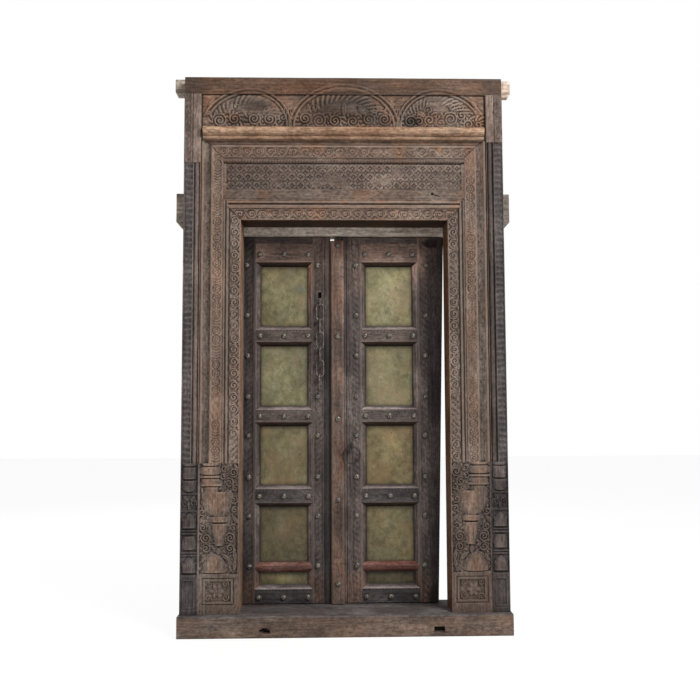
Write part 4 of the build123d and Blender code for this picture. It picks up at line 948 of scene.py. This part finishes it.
# the highest of arches, scrolls, fans, leaves and columns, cut into the board
def buildFrieze():
    x, z = levelGrid(levels["frieze"], levels["rail"], lambda h: uprights["jamb"] + 0 * h, frieze["step"])
    bands, _, fans = archBands(x, z)
    top = 2240 + 9 * noise(x / 45, x * 0, 90) - 26 * ramp(-560, -600, x)
    work = scrollWork(x, z) * ramp(2177, 2183, z) * ramp(top + 8, top, z) * ramp(-598, -580, x)
    work = withCurls(work, x, z, frieze["blooms"], 13.0)
    work = withLeaves(work, x, z, frieze["leaves"])
    aside = np.abs(x) - frieze["columns"]
    column = (0.55 + 0.45 * np.cos(2 * pi * aside / 9)) * (np.abs(aside) < 14 + 10 * ramp(2240, 2262, z))
    column = column * ramp(2264, 2258, z)
    kept = 1 - 0.5 * ramp(0.0, 0.6, noise(x / 65, z / 50, 91))
    plain = 0.3 * ramp(0.05, 0.0, np.maximum(bands, work)) * (z > 2238)
    cut = 1 - highest(bands, 0.95 * work * kept, 0.95 * fans * kept, 0.9 * column, plain)
    y = frieze["depth"] * cut + 0.8 * roughness(x / 40, z / 30, 92)
    holeX, holeZ = frieze["hole"]
    y = y + 1.2 * np.clip(roughness(x / 14, z / 14, 94), 0, 1)
    y = y + 6 * ramp(5, 3, np.hypot(x - holeX, z - holeZ))
    # dark lines along the top and the ends: painted shade where the frieze sits back under the rail and the
    # blocks
    tone = -0.1 - 0.9 * ramp(2317, 2320, z) * (1 - bands) - 1.2 * ramp(615, 619, np.abs(x))
    tone = tone + 0.16 * roughness(x / 60, z / 50, 95)
    for middle, height, wide, tall, change in frieze["smudges"]:
        tone = tone + change * ramp(1.0, 0.3, np.hypot((x - middle) / wide, (z - height) / tall))
    warm = 0.35 * ramp(-0.1, 0.5, noise(x / 70, z / 60, 93)) + 0.2 * ramp(540, 600, np.abs(x))
    makeRelief("frieze", x, np.clip(y, 0, 14), z, frieze["back"], "frame", levelTimber, tone, warm)


# top rail: reeded board with the arches' crowns running over it and half rosettes between them
topRail = dict(step=3.2, chamfer=2394.0, reed=17.0, roses=[(x, 2328, 21, 1) for x in (-276, -194, 194, 276)])


def buildTopRail():
    foot, top, chamfer, jambOut = levels["rail"], levels["top"], topRail["chamfer"], uprights["jamb"]
    x, z = levelGrid(foot, top, lambda h: uprights["outer"] + 0 * h, topRail["step"], [chamfer])
    bands, inside, _ = archBands(x, z)
    bands, inside = bands * (np.abs(x) < jambOut), inside * (np.abs(x) < 600)
    roses = withCurls(0 * x, x, z, topRail["roses"], 9)
    ends = ramp(3.5, 0, z - foot) * 3.0 + ramp(chamfer, top, z) * 6.0
    reeds = 0.6 * np.cos(2 * pi * (z + 5 * noise(x / 160, z / 60, 95)) / topRail["reed"])
    y = ends - 4.0 * np.maximum(bands, 0.6 * roses) + 2.0 * inside
    y = y + 1.2 * roughness(x / 110, z / 10, 96) + reeds
    tone = -0.58 - 0.35 * inside * ramp(2352, 2326, z) - 0.7 * ramp(2325, 2321, z) * (np.abs(x) < jambOut)
    tone = tone + 0.15 * bands + 0.18 * roughness(x / 130, z / 20, 97) - 0.1 * ramp(2380, 2398, z)
    warm = 0.55 + 0.35 * noise(x / 120, z / 40, 98) - 0.3 * ramp(600, 640, np.abs(x))
    makeRelief("top_rail", x, np.maximum(y, -4.0), z, frieze["back"], "frame", levelTimber, tone, warm)


buildCornice()
buildFrieze()
buildTopRail()
print("cornice, frieze and top rail carved")


# sawn beams: a profile with softened corners carried along x with a slow wander, its ends rounded off;
# slope draws the ends in towards the foot, and cut lifts the foot near them
def buildBeam(node, half, corners, radius, seed, slope=0.0, cut=0.0, ends=(0.0, 0.0)):
    profile = densified(roundedProfile(corners, radius), 14.0)
    xs = np.concatenate([[-half, -half + 1.5], np.linspace(-half + 5, half - 5, 120), [half - 1.5, half]])
    away = profile - profile.mean(axis=0)
    away = away / np.linalg.norm(away, axis=1)[:, None]
    inset = np.interp(half - np.abs(xs), [0, 1.5, 5], [3.0, 1.0, 0.0])[:, None, None]
    wander = roughness(xs[:, None] / 110, np.arange(len(profile))[None] / 9, seed)[:, :, None]
    swept = profile[None] - (inset + 0.9 + 0.9 * wander) * away[None]
    ys, zs = swept[:, :, 0], swept[:, :, 1]
    low, high = zs.min(), zs.max()
    drop = (high - zs) / (high - low)
    zs = zs + drop * np.clip(np.abs(xs) - half + cut, 0, cut)[:, None]
    xs = xs[:, None] * (1 - slope / half * drop)
    stain = roughness(xs / 120, zs / 30, seed + 5)
    tone = 0.2 * stain + ends[0] * ramp(-600, -650, xs) + ends[1] * ramp(600, 650, xs) + 0.2
    makeBar(node, xs, ys, zs, "frame", beamTimber, tone, 0.2 * stain)


buildBeam("top_beam", 747.0, [(58, 2352), (136, 2352), (136, 2412), (58, 2412)], 4, 101)
buildBeam("tie_plank", 745.0, [(58, 2336), (94, 2336), (94, 2352), (58, 2352)], 3, 102, slope=8.0)
buildBeam("pivot_beam", 754.0, [(150, 1728), (250, 1728), (250, 1920), (150, 1920)], 5, 103, cut=60.0,
          ends=(-0.06, -0.74))


# sill: a heavy timber with a rounded nose, a slot and a split in its front, and a slate-grey worn top
sill = dict(half=700.0, corners=[(-40, 0), (250, 0), (250, 90), (-40, 90)], radius=8,
            slot=(368.0, 412.0, 25.0, 40.0, 30.0), split=(-363.0, -313.0, 22.0))


def buildSill():
    profile = densified(roundedProfile(sill["corners"], sill["radius"], 5), 6.0)
    left, right, low, high, depth = sill["slot"]
    splitLeft, splitRight, splitDepth = sill["split"]
    marks = [left - 0.5, left, right, right + 0.5]
    along = np.linspace(-sill["half"], sill["half"], 240)
    xs = np.unique(np.concatenate([along, marks, np.linspace(splitLeft, splitRight, 15)]))
    x = np.broadcast_to(xs[:, None], (len(xs), len(profile)))
    y = np.broadcast_to(profile[None, :, 0], x.shape).copy()
    z = np.broadcast_to(profile[None, :, 1], x.shape).copy()
    wander = roughness(x / 90, z / 16 + y / 40, 111)
    front, top = y < -36, z > 85
    y = y + front * (1.7 + 1.6 * wander)
    z = np.where(z > 80, z - 0.6 - 1.0 * np.abs(wander) * (y < 30), z)
    slot = front & (x > left - 0.1) & (x < right + 0.1) & (z > low) & (z < high)
    gape = np.interp(x, [splitLeft, splitLeft + 34, splitRight], [0, 10, 2])
    split = front & (x > splitLeft) & (x < splitRight) & (np.abs(z - 33 + (x - splitLeft) * 0.1) < gape)
    y = y + depth * slot + splitDepth * split
    stain = roughness(x / 140, z / 30 + y / 30, 112)
    patch = ramp(1.0, 0.3, np.hypot((x - 60) / 90, (y - 10) / 60))
    # the slot and the split are painted near black: painted shade in the holes
    tone = np.where(slot | split, -1.6, -0.2 + 0.14 * stain)
    tone = tone + top * (0.3 * patch + 0.05) - 0.3 * top * ramp(120, 190, y)
    warm = np.where(top, -0.95 + 0.3 * stain, 0.05 + 0.25 * stain)
    makeBar("sill", xs, y, z, "frame", levelTimber, tone, warm, 50)


buildSill()
print("beams and sill made")


# leaves: u is the distance from the meeting edge towards the edge that the leaf hangs on
leaves = dict(
    left=dict(
        side=-1, meeting=-63.0, edge=([0.0, -0.2, -2.6], [27.0, 24.0, 3.0]), width=456.0, stile=77.0,
        seed=200, rope=52.0, lines=(20.0, 26.0), keyhole=(45.0, 1460.0, 6.5, 11.0), hangTone=(-0.4, -0.45),
        panels=[(-0.10, 0.05), (-0.04, -0.12), (-0.17, 0.14), (-0.49, 0.16), (-0.18, 0.15)]),
    right=dict(
        side=1, meeting=-43.0, edge=([0.0], [2.2]), width=497.0, stile=118.0,
        seed=300, rope=96.0, lines=(54.0, 62.0), hangTone=(0.02, -0.3),
        panels=[(0.11, 0.0), (-0.07, -0.06), (-0.17, 0.3), (-0.25, 0.16), (-0.8, 0.15)]),
)
leafShape = dict(front=178.0, board=206.0, foot=202.0, deepest=205.0, low=94.0, high=1724.0, strip=27.0,
                 hanging=93.0, bevel=25.0, taper=38.0, railBevel=18.0, ropeCut=2.8)
rails = dict(  # foot, head, bevelled below, bevelled above, tone, warm
    bottom_rail=(94, 172, 0, 1, -0.32, -0.5), lower_rail=(512, 609, 1, 1, -0.25, -0.4),
    middle_rail=(870, 960, 1, 1, -0.05, -0.1), upper_rail=(1230, 1321, 1, 1, 0.05, 0.05),
    top_rail=(1593, 1724, 1, 0, 0.36, 0.3))
brassRows = [(1321, 1593), (960, 1230), (609, 870), (270, 512), (172, 224)]


# rope of leaves along a stile: a half round crossed by slanting strokes, the cosine of a slanted distance
def ropeBand(u, v, width, pitch, seed):
    strokes = wave(2 * pi * (v + 0.75 * u + 4 * noise(v / 70, v * 0, seed)) / pitch)
    return (0.2 + 0.8 * strokes) * halfRound(u, width / 2)


# a piece of a leaf from distances u off the meeting edge, turned round for the left leaf
def leafRelief(node, leafName, u, y, z, finish, tone=0.0, warm=0.0):
    shape = leaves[leafName]
    x = shape["meeting"] + shape["side"] * u
    grids = [x, y, z, np.broadcast_to(tone, x.shape), np.broadcast_to(warm, x.shape)]
    if shape["side"] < 0:
        grids = [g[:, ::-1] for g in grids]
    x, y, z, tone, warm = grids
    makeRelief(leafName + "_" + node, x, y, z, leafShape["board"], leafName + "_leaf", finish, tone, warm)


# edges of a leaf's parts, as distances from its meeting edge
def leafEdges(leafName):
    shape = leaves[leafName]
    stripIn = shape["width"] - leafShape["strip"]
    hangIn = stripIn - leafShape["hanging"]
    return shape["stile"], shape["stile"] + leafShape["bevel"], hangIn - leafShape["bevel"], hangIn, stripIn


# wear on a leaf's face: slow waves, small pits and a slight loss all over
def worn(u, z, seed):
    pits = np.clip(roughness(u / 9, z / 30, seed + 5), 0, 1)
    return 0.9 * roughness(u / 26, z / 80, seed) + 0.7 * pits + 0.5


# meeting stile: a rope band, two grooves and a bevel; the left leaf's has a lip and a keyhole
def buildMeetingStile(leafName):
    shape, seed = leaves[leafName], leaves[leafName]["seed"]
    stile, brassIn, _, _, _ = leafEdges(leafName)
    front, fall = leafShape["front"], leafShape["foot"] - leafShape["front"]
    z = spaced(leafShape["low"], leafShape["high"], 4.0)
    u = np.unique(np.concatenate([np.arange(3, stile, 3.2), [stile], np.linspace(stile, brassIn, 8)]))
    edgeAt, edgeFall = shape["edge"]
    u, z = np.meshgrid(np.concatenate([edgeAt, u]), z)
    w = u - shape["rope"]
    carve = leafShape["ropeCut"] * (1 - ropeBand(w, z, 36.0, 27.0, seed + 2)) * ramp(19.5, 17.5, np.abs(w))
    for line in shape["lines"]:
        carve = carve + leafShape["ropeCut"] * ridge(u - line, 2.6)
    bevel = fall * np.clip((u - stile) / leafShape["bevel"], 0, 1)
    y = front + np.where(u <= stile, carve, 0) + bevel + worn(u, z, seed + 1)
    y[:, :len(edgeAt)] = front + np.array(edgeFall)
    onBevel = ramp(stile, stile + 3, u)
    tone = 0.14 * roughness(u / 40, z / 150, seed + 3) - 0.1
    warm = 0.45 * ramp(260, 190, z) + 0.3 * ramp(1380, 1560, z) - 0.1
    if leafName == "left":
        # a darker, cooler strip along the meeting edge, from the middle down
        darkStrip = ramp(34, 26, u) * ramp(1360, 1150, z)
        # painted light on the bevel, stronger towards the top
        tone = tone - 0.6 * darkStrip + onBevel * (0.65 + 0.35 * ramp(1200, 1450, z))
        warm = warm - 0.45 * darkStrip + 0.3 * onBevel * ramp(1200, 1450, z)
        middle, height, halfWide, halfTall = shape["keyhole"]
        keyhole = (np.abs(u - middle) < halfWide) & (np.abs(z - height) < halfTall)
        y = np.where(keyhole, front + 18, y)
        # the keyhole is painted near black: painted shade in the hole
        tone = np.where(keyhole, -2.0, tone)
    else:
        # painted light on the bevel
        tone = tone + 0.12 + 0.12 * onBevel - 0.15 * ramp(40, 30, u) * ramp(700, 300, z)
        warm = warm - 0.12 * ramp(70, 50, u)
    y = np.minimum(y, leafShape["deepest"])
    leafRelief("meeting_stile", leafName, u, y, z, stileTimber, tone, warm)


# hanging stile, whose outer edge leans in towards the foot, and the strip beyond it
def buildHangingStile(leafName):
    shape, seed = leaves[leafName], leaves[leafName]["seed"]
    _, _, brassOut, hangIn, stripIn = leafEdges(leafName)
    front, low, high = leafShape["front"], leafShape["low"], leafShape["high"]
    fall = leafShape["foot"] - front
    z = spaced(low, high, 4.0)
    outer = (stripIn - leafShape["taper"] * (high - z) / (high - low))[:, None]
    inner = np.broadcast_to(np.linspace(brassOut, hangIn, 8)[None, :-1], (len(z), 7))
    u = np.concatenate([inner, hangIn + (outer - hangIn) * np.linspace(0, 1, 26)[None]], axis=1)
    zz = np.broadcast_to(z[:, None], u.shape)
    w = u - hangIn - 30
    band = ramp(20.5, 18.5, np.abs(w))
    carve = leafShape["ropeCut"] * (1 - ropeBand(w, zz + 40, 38.0, 27.0, seed + 6)) * band
    bevel = fall * np.clip((hangIn - u) / leafShape["bevel"], 0, 1)
    y = front + carve * (u > hangIn) + bevel + worn(u, zz, seed + 7)
    onBevel = ramp(hangIn, hangIn - 3, u)
    inTone, outTone = shape["hangTone"]
    share = ramp(hangIn + 36, hangIn + 56, u)
    # the outer part takes its own tone; on the right leaf its darkness is partly a painted shadow of the
    # right jamb
    tone = (inTone * (1 - share) + outTone * share) * (1 - onBevel)
    tone = tone + 0.12 * roughness(u / 40, zz / 150, seed + 8)
    warm = -0.28 * share + 0.4 * ramp(260, 190, zz) - 0.05
    # painted light on the bevels, slight on the left leaf and stronger on the right
    if leafName == "left":
        tone = tone + 0.05 * onBevel
    else:
        tone = tone + (0.45 + 0.15 * ramp(1100, 1450, zz)) * onBevel
        chip = ramp(1.0, 0.4, np.hypot((u - stripIn + 20) / 60, (zz - 1700) / 28))
        tone = tone - 0.6 * chip + 0.35 * ramp(1450, 1640, zz) * (1 - chip)
        warm = warm + 0.4 * ramp(1450, 1640, zz)
        y = y + 4.0 * chip * (u > hangIn)
    y = np.minimum(y, leafShape["deepest"])
    leafRelief("hanging_stile", leafName, u, y, zz, stileTimber, tone, warm)
    t = np.linspace(0, 1, 9)[None]
    u = outer + leafShape["strip"] * t
    zz = np.broadcast_to(z[:, None], u.shape)
    y = front + 2.0 * ridge(t - 0.02, 0.12) + 2.0 * ridge(t - 1, 0.12) + worn(u, zz, seed + 9)
    leafRelief("edge_strip", leafName, u, y, zz, stileTimber, -0.45, -0.1)


# rails between the stiles, mitred at their bevels, scalloped along the upper bevel and with worn leaves
def buildRails(leafName):
    seed = leaves[leafName]["seed"]
    stile, _, _, hangIn, _ = leafEdges(leafName)
    drop, wide = leafShape["railBevel"], leafShape["bevel"]
    for number, (rail, (foot, head, below, above, railTone, railWarm)) in enumerate(rails.items()):
        z = np.unique(np.concatenate([np.arange(foot, head, 3.4), [head, foot + drop, head - drop]]))
        under, over = below * (foot + drop - z) / drop, above * (z - head + drop) / drop
        rise = np.clip(np.maximum(under, over), 0, 1)[:, None]
        start, end = stile + wide * rise, hangIn - wide * rise
        u = start + (end - start) * np.linspace(0, 1, 78)[None]
        zz = np.broadcast_to(z[:, None], u.shape)
        edge = head - drop - zz
        scallop = 3.2 * above * ridge(edge - 5, 7) * wave(2 * pi * u / 15) * (edge > -1)
        w = zz - (foot + head) / 2
        band = ramp(18, 16, np.abs(w)) * (0 < number < 4)
        carve = 1.2 * (1 - ropeBand(w, u, 34.0, 24.0, seed + 10 + number)) * band
        y = leafShape["front"] + (leafShape["foot"] - leafShape["front"]) * rise
        y = y + (scallop + carve) * (rise < 0.01) + worn(u / 3, zz * 2, seed + 20 + number)
        lower, upper = np.clip(under, 0, 1)[:, None] > 0.02, np.clip(over, 0, 1)[:, None] > 0.02
        # painted shade on the bevel below each rail, which faces down, and painted light on the bevel above
        # it, which faces up
        tone = np.where(lower, -0.95, np.where(upper, 0.66, railTone - 0.04))
        tone = tone + 0.12 * roughness(u / 60, zz / 40, seed + 30)
        warm = np.where(lower, 0.7, np.where(upper, -0.3, railWarm))
        if rail == "top_rail":
            # painted shadow of the head along the top of the leaf
            tone = tone - 0.5 * ramp(1694, 1700, zz)
            warm = warm * ramp(1700, 1694, zz)
        leafRelief(rail, leafName, u, np.minimum(y, leafShape["deepest"]), zz, railTimber, tone, warm)


# half-round red bar across the lowest field, its ends cut along the stiles' bevels
roundBar = dict(proud=25.0, middle=247.0, half=23.0, around=13, stations=60)


def buildRoundBar(leafName):
    shape = leaves[leafName]
    front, foot, board = leafShape["front"], leafShape["foot"], leafShape["board"]
    stile, _, _, hangIn, _ = leafEdges(leafName)
    a = np.linspace(0, pi, roundBar["around"])
    depth = board - roundBar["proud"] * np.sin(a)
    height = roundBar["middle"] + roundBar["half"] * np.cos(a)
    draw = leafShape["bevel"] * np.clip((depth - front) / (foot - front), 0, 1)
    t = np.linspace(0, 1, roundBar["stations"])[:, None]
    u = (stile + draw)[None] * (1 - t) + (hangIn - draw)[None] * t
    xs = shape["meeting"] + shape["side"] * u
    rough = roughness(xs / 40, np.arange(roundBar["around"])[None] / 4, shape["seed"] + 40)
    ys = depth[None] + (0.5 + 0.6 * rough) * (depth[None] < board - 2)
    zs = np.broadcast_to(height[None], ys.shape)
    # painted light on the bar's upper half
    tone = 0.35 * ramp(246, 262, zs) - 0.05
    makeBar(leafName + "_round_bar", xs, ys, zs, leafName + "_leaf", barTimber, tone)


# thin brass sheets with dents, dulled along their edges, with a painted shadow along the top and a painted
# sheen in the upper middle; the first on the left leaf has a slate-grey patch
sheet = dict(front=204.5, deepest=205.6, dent=1.4, loss=0.6, across=54, step=4.0, patch=(38.0, 1490.0))


def buildBrass(leafName):
    shape, seed = leaves[leafName], leaves[leafName]["seed"]
    _, brassIn, brassOut, _, _ = leafEdges(leafName)
    for k, (foot, head) in enumerate(brassRows, 1):
        z = np.linspace(foot, head, max(8, int((head - foot) / sheet["step"])))
        u, z = np.meshgrid(np.linspace(brassIn, brassOut, sheet["across"]), z)
        aside, away = np.minimum(u - brassIn, brassOut - u), np.minimum(z - foot, head - z)
        inset = np.minimum(aside, away)
        corner = ramp(17, 24, np.hypot(np.clip(20 - aside, 0, 20), np.clip(20 - away, 0, 20))) * (k < 5)
        fine = np.clip(roughness(u / 16, z / 16, seed + 60 + k), -1, 0.2)
        dents = roughness(u / 46, z / 46, seed + 50 + k) + 0.5 * fine
        y = sheet["front"] + sheet["dent"] * dents * ramp(0, 18, inset) - sheet["loss"]
        panelTone, panelWarm = shape["panels"][k - 1]
        cloud = roughness(u / 70, z / 90, seed + 70 + k)
        across, up = (u - (brassIn + brassOut) / 2) / 85, (z - foot - 0.6 * (head - foot)) / 110
        sheen = ramp(1.0, 0.1, np.hypot(across, up))
        # darker along the edges, and a painted shadow under the rail above
        tone = panelTone - 0.35 * ramp(16, 0, inset) - 0.25 * ramp(26, 0, head - z)
        # the sheen is a painted reflection
        tone = tone + 0.2 * cloud + 0.16 * sheen - 0.55 * corner
        warm = panelWarm + 0.25 * roughness(u / 60, z / 60, seed + 80 + k) + 0.7 * corner - 0.05 * sheen
        if leafName == "left" and k == 1:
            aside, height = sheet["patch"]
            patch = ramp(1.0, 0.2, np.hypot((u - brassIn - aside) / 36, (z - height) / 34))
            warm, tone = warm - 0.9 * patch, tone - 0.15 * patch
        leafRelief(f"brass_panel_{k}", leafName, u, np.minimum(y, sheet["deepest"]), z, brass, tone, warm)


for leafName in leaves:
    for build in (buildMeetingStile, buildHangingStile, buildRails, buildRoundBar, buildBrass):
        build(leafName)
print("leaves made")


# studs: low domes, each a little off round, at the places of the solids' own studs, by their points
stud = dict(points=36, radius=12.4, rise=9.6, rings=6, around=16, offRound=0.05)


def buildStuds(node, body, seed):
    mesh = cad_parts[node].data
    places = np.empty(len(mesh.vertices) * 3, np.float32)
    mesh.vertices.foreach_get("co", places)
    groups = places.reshape(-1, stud["points"], 3) / mm
    low, high = groups.min(axis=1), groups.max(axis=1)
    middle, face = (low + high) / 2, high[:, 1]
    rise = np.linspace(0, pi / 2, stud["rings"] + 1)[None, :-1, None]
    ring = np.linspace(0, 2 * pi, stud["around"], endpoint=False)[None, None]
    off = np.random.default_rng(seed).normal(0, stud["offRound"], (len(middle), 3, 1, 1))
    r, out = stud["radius"] * np.cos(rise) ** 0.85, stud["rise"] * np.sin(rise)
    x = middle[:, 0, None, None] + r * np.cos(ring) * (1 + off[:, 0])
    z = middle[:, 2, None, None] + r * np.sin(ring) * (1 + off[:, 1])
    y = face[:, None, None] - out * (1 + off[:, 2]) + 0 * x
    n, rings, around = x.shape
    index = np.arange(n * rings * around).reshape(n, rings, around)
    after = np.roll(index, -1, axis=2)
    quads = np.stack([index[:, :-1], after[:, :-1], after[:, 1:], index[:, 1:]], -1).reshape(-1, 4)
    makePiece(node, np.stack([x, y, z], -1).reshape(-1, 3), quads.tolist(), body, studIron, sharp=70)


buildStuds("left_studs", "left_leaf", 5)
buildStuds("right_studs", "right_leaf", 6)


# cover strip on the right leaf's meeting edge, chamfered and notched along its edges
coverStrip = dict(front=158.0, high=1706.0, edgeAt=[-61.0, -60.6, -59.6, -53.6, -4.0, 2.0],
                  edgeFall=[19.4, 14.0, 7.0, 0.0, 0.0, 6.0])


def buildCoverStrip():
    edgeAt = coverStrip["edgeAt"]
    x = np.concatenate([edgeAt[:3], np.linspace(edgeAt[3], edgeAt[4], 21), edgeAt[5:]])
    x, z = np.meshgrid(x, spaced(leafShape["low"], coverStrip["high"], 4.0))
    rise = np.interp(x, edgeAt, coverStrip["edgeFall"])
    y = coverStrip["front"] + rise + 1.1 * roughness(x / 16, z / 60, 401) * (rise < 1)
    nicks = 2.0 * ramp(0.3, 0.6, roughness(x / 30, z / 14, 402))
    nicks = nicks + 1.2 * np.clip(roughness(x / 12, z / 12, 405), 0, 1)
    y = y + nicks * (rise < 8)
    tone = 0.25 * ramp(900, 1500, z) + 0.2 * roughness(x / 60, z / 140, 403) - 0.2
    warm = 0.3 * noise(x / 60, z / 120, 404) + 0.1
    makeRelief("astragal", x, y, z, leafShape["front"], "right_leaf", coverTimber, tone, warm, (-0.5, 0))


buildCoverStrip()


# a long loop in the plane x-z about the origin: two straight runs joined by half circles
def loopPath(halfWidth, halfLength, count):
    t = np.linspace(0, 2 * pi, count, endpoint=False)
    x = halfWidth * np.cos(t)
    z = halfWidth * np.sin(t) + (halfLength - halfWidth) * np.clip(np.sin(t) * 6, -1, 1)
    return np.stack([x, 0 * x, z], -1)


# chain, pull ring and their staples
hardware = dict(
    chain=(-108.0, 153.5, 1380.0), pitch=63.3, turns=(0, 90, 0, 90, 0, 78), linkHalf=(15.5, 36.5),
    linkWire=4.4, ring=(33.0, 150.0, 742.0), ringRadius=36.0, ringWire=3.9, stapleBack=184.0, stapleWire=3.4,
    staples=[("chain_staple", "left_leaf", -108.0, 141.0, 1407.8, 1432.8, chainIron),
             ("ring_staple", "right_leaf", 33.0, 138.5, 769.8, 792.8, ringIron)],
)


# links turned about the upright one after the other, the ring as a circle, and staples as rounded oblongs
def buildHardware():
    x, y, z = hardware["chain"]
    for k, degrees in enumerate(hardware["turns"]):
        turn = radians(degrees)
        path = loopPath(*hardware["linkHalf"], 48)
        path = np.stack([path[:, 0] * cos(turn), path[:, 0] * sin(turn), path[:, 2]], -1)
        path = path + np.array([x, y, z - hardware["pitch"] * k])
        side = np.array([-sin(turn), cos(turn), 0.0])
        makeWire(f"chain_link_{k + 1}", path, side, hardware["linkWire"], f"link_{k + 1}", chainIron)
    a = np.linspace(0, 2 * pi, 64, endpoint=False)
    x, y, z = hardware["ring"]
    r = hardware["ringRadius"]
    path = np.stack([x + r * np.cos(a), y + 0 * a, z + r * np.sin(a)], -1)
    makeWire("pull_ring", path, np.array([0, 1.0, 0]), hardware["ringWire"], "ring", ringIron)
    for node, body, x, y0, z0, z1, finish in hardware["staples"]:
        back = hardware["stapleBack"]
        loop = roundedProfile([(y0, z0), (back, z0), (back, z1), (y0, z1)], 6, 5)
        path = np.stack([np.full(len(loop), x), loop[:, 0], loop[:, 1]], -1)
        makeWire(node, path, np.array([1.0, 0, 0]), hardware["stapleWire"], body, finish, 10)


buildHardware()
print("studs, chain and ring made")

# boards behind the panels keep their solids and get their finish
for leafName in leaves:
    for board in ("hanging_board", "meeting_board"):
        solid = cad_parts[leafName + "_" + board]
        solid.data.materials.clear()
        solid.data.materials.append(stileTimber[0])


# floor, light and camera
view = dict(place=(-0.06793, -3.58014, 0.93146), pitch=4.2539, yaw=1.4488, roll=-0.2258, lens=43.02)
studio = dict(
    floorSize=14.0, floorColor=(0.9, 0.9, 0.9, 1), floorGlow=0.86, floorLight=1.05, fill=0.42,
    lamps=[("keyLight", (2.5, -3.2, 4.1), (0, 0, 1.2), 2.0, 230.0),
           ("backLight", (-1.5, 4.0, 3.5), (0, 0, 1.2), 3.0, 90.0)],
)


# 1 for rays of either kind
def seenBy(tree, one, two):
    rays = addNode(tree, "LightPath").outputs
    return mathNode(tree, "MAXIMUM", rays[one], rays[two])


# two shaders mixed by a share and led to the output
def mixedOut(tree, share, first, second, target):
    mixed = addNode(tree, "MixShader", {0: share, 1: first.outputs[0], 2: second.outputs[0]})
    addNode(tree, target, {"Surface": mixed.outputs[0]})


# floor that keeps the shadow under a share of plain white for the camera and for reflections
def makeStage():
    size = studio["floorSize"]
    mesh = bpy.data.meshes.new("studioFloor")
    corners = [(-size, -size, 0), (size, -size, 0), (size, size, 0), (-size, size, 0)]
    mesh.from_pydata(corners, [], [(0, 1, 2, 3)])
    floor = bpy.data.objects.new("studioFloor", mesh)
    bpy.context.collection.objects.link(floor)
    material = bpy.data.materials.new("paleFloor")
    material.use_nodes = True
    tree = material.node_tree
    tree.nodes.clear()
    diffuse = addNode(tree, "BsdfDiffuse", {"Color": studio["floorColor"]})
    glow = addNode(tree, "Emission", {"Strength": studio["floorLight"]})
    share = timesNode(tree, seenBy(tree, "Is Camera Ray", "Is Glossy Ray"), studio["floorGlow"])
    mixedOut(tree, share, diffuse, glow, "OutputMaterial")
    mesh.materials.append(material)


# even light from all round, plain white behind for the camera, and two lamps
def makeLight():
    world = bpy.data.worlds.new("studioWorld")
    bpy.context.scene.world = world
    world.use_nodes = True
    tree = world.node_tree
    tree.nodes.clear()
    fill = addNode(tree, "Background", {"Color": (1, 1, 1, 1), "Strength": studio["fill"]})
    white = addNode(tree, "Background", {"Color": (1, 1, 1, 1), "Strength": 1.0})
    mixedOut(tree, seenBy(tree, "Is Camera Ray", "Is Transmission Ray"), fill, white, "OutputWorld")
    for name, place, aim, size, power in studio["lamps"]:
        lamp = bpy.data.lights.new(name, "AREA")
        lamp.size = size
        lamp.energy = power
        holder = bpy.data.objects.new(name, lamp)
        aimed = Vector(aim) - Vector(place)
        holder.matrix_world = Matrix.Translation(place) @ aimed.to_track_quat("-Z", "Y").to_matrix().to_4x4()
        bpy.context.collection.objects.link(holder)


# the photo's own view: a direction from pitch and yaw, turned by the roll
def makeCamera():
    p, w, r = (radians(view[k]) for k in ("pitch", "yaw", "roll"))
    ahead = Vector((sin(w) * cos(p), cos(w) * cos(p), sin(p)))
    right = Vector((cos(w), -sin(w), 0))
    up = right.cross(ahead)
    rightRolled = right * cos(r) + up * sin(r)
    upRolled = up * cos(r) - right * sin(r)
    turn = Matrix((rightRolled, upRolled, -ahead)).transposed().to_4x4()
    lens = bpy.data.cameras.new("photoCamera")
    lens.lens = view["lens"]
    lens.sensor_width = 36.0
    lens.sensor_fit = "HORIZONTAL"
    holder = bpy.data.objects.new("photoCamera", lens)
    holder.matrix_world = Matrix.Translation(view["place"]) @ turn
    bpy.context.collection.objects.link(holder)
    bpy.context.scene.camera = holder


makeStage()
makeLight()
makeCamera()
bpy.context.scene.view_settings.view_transform = "Standard"
print("stage, light and camera set")
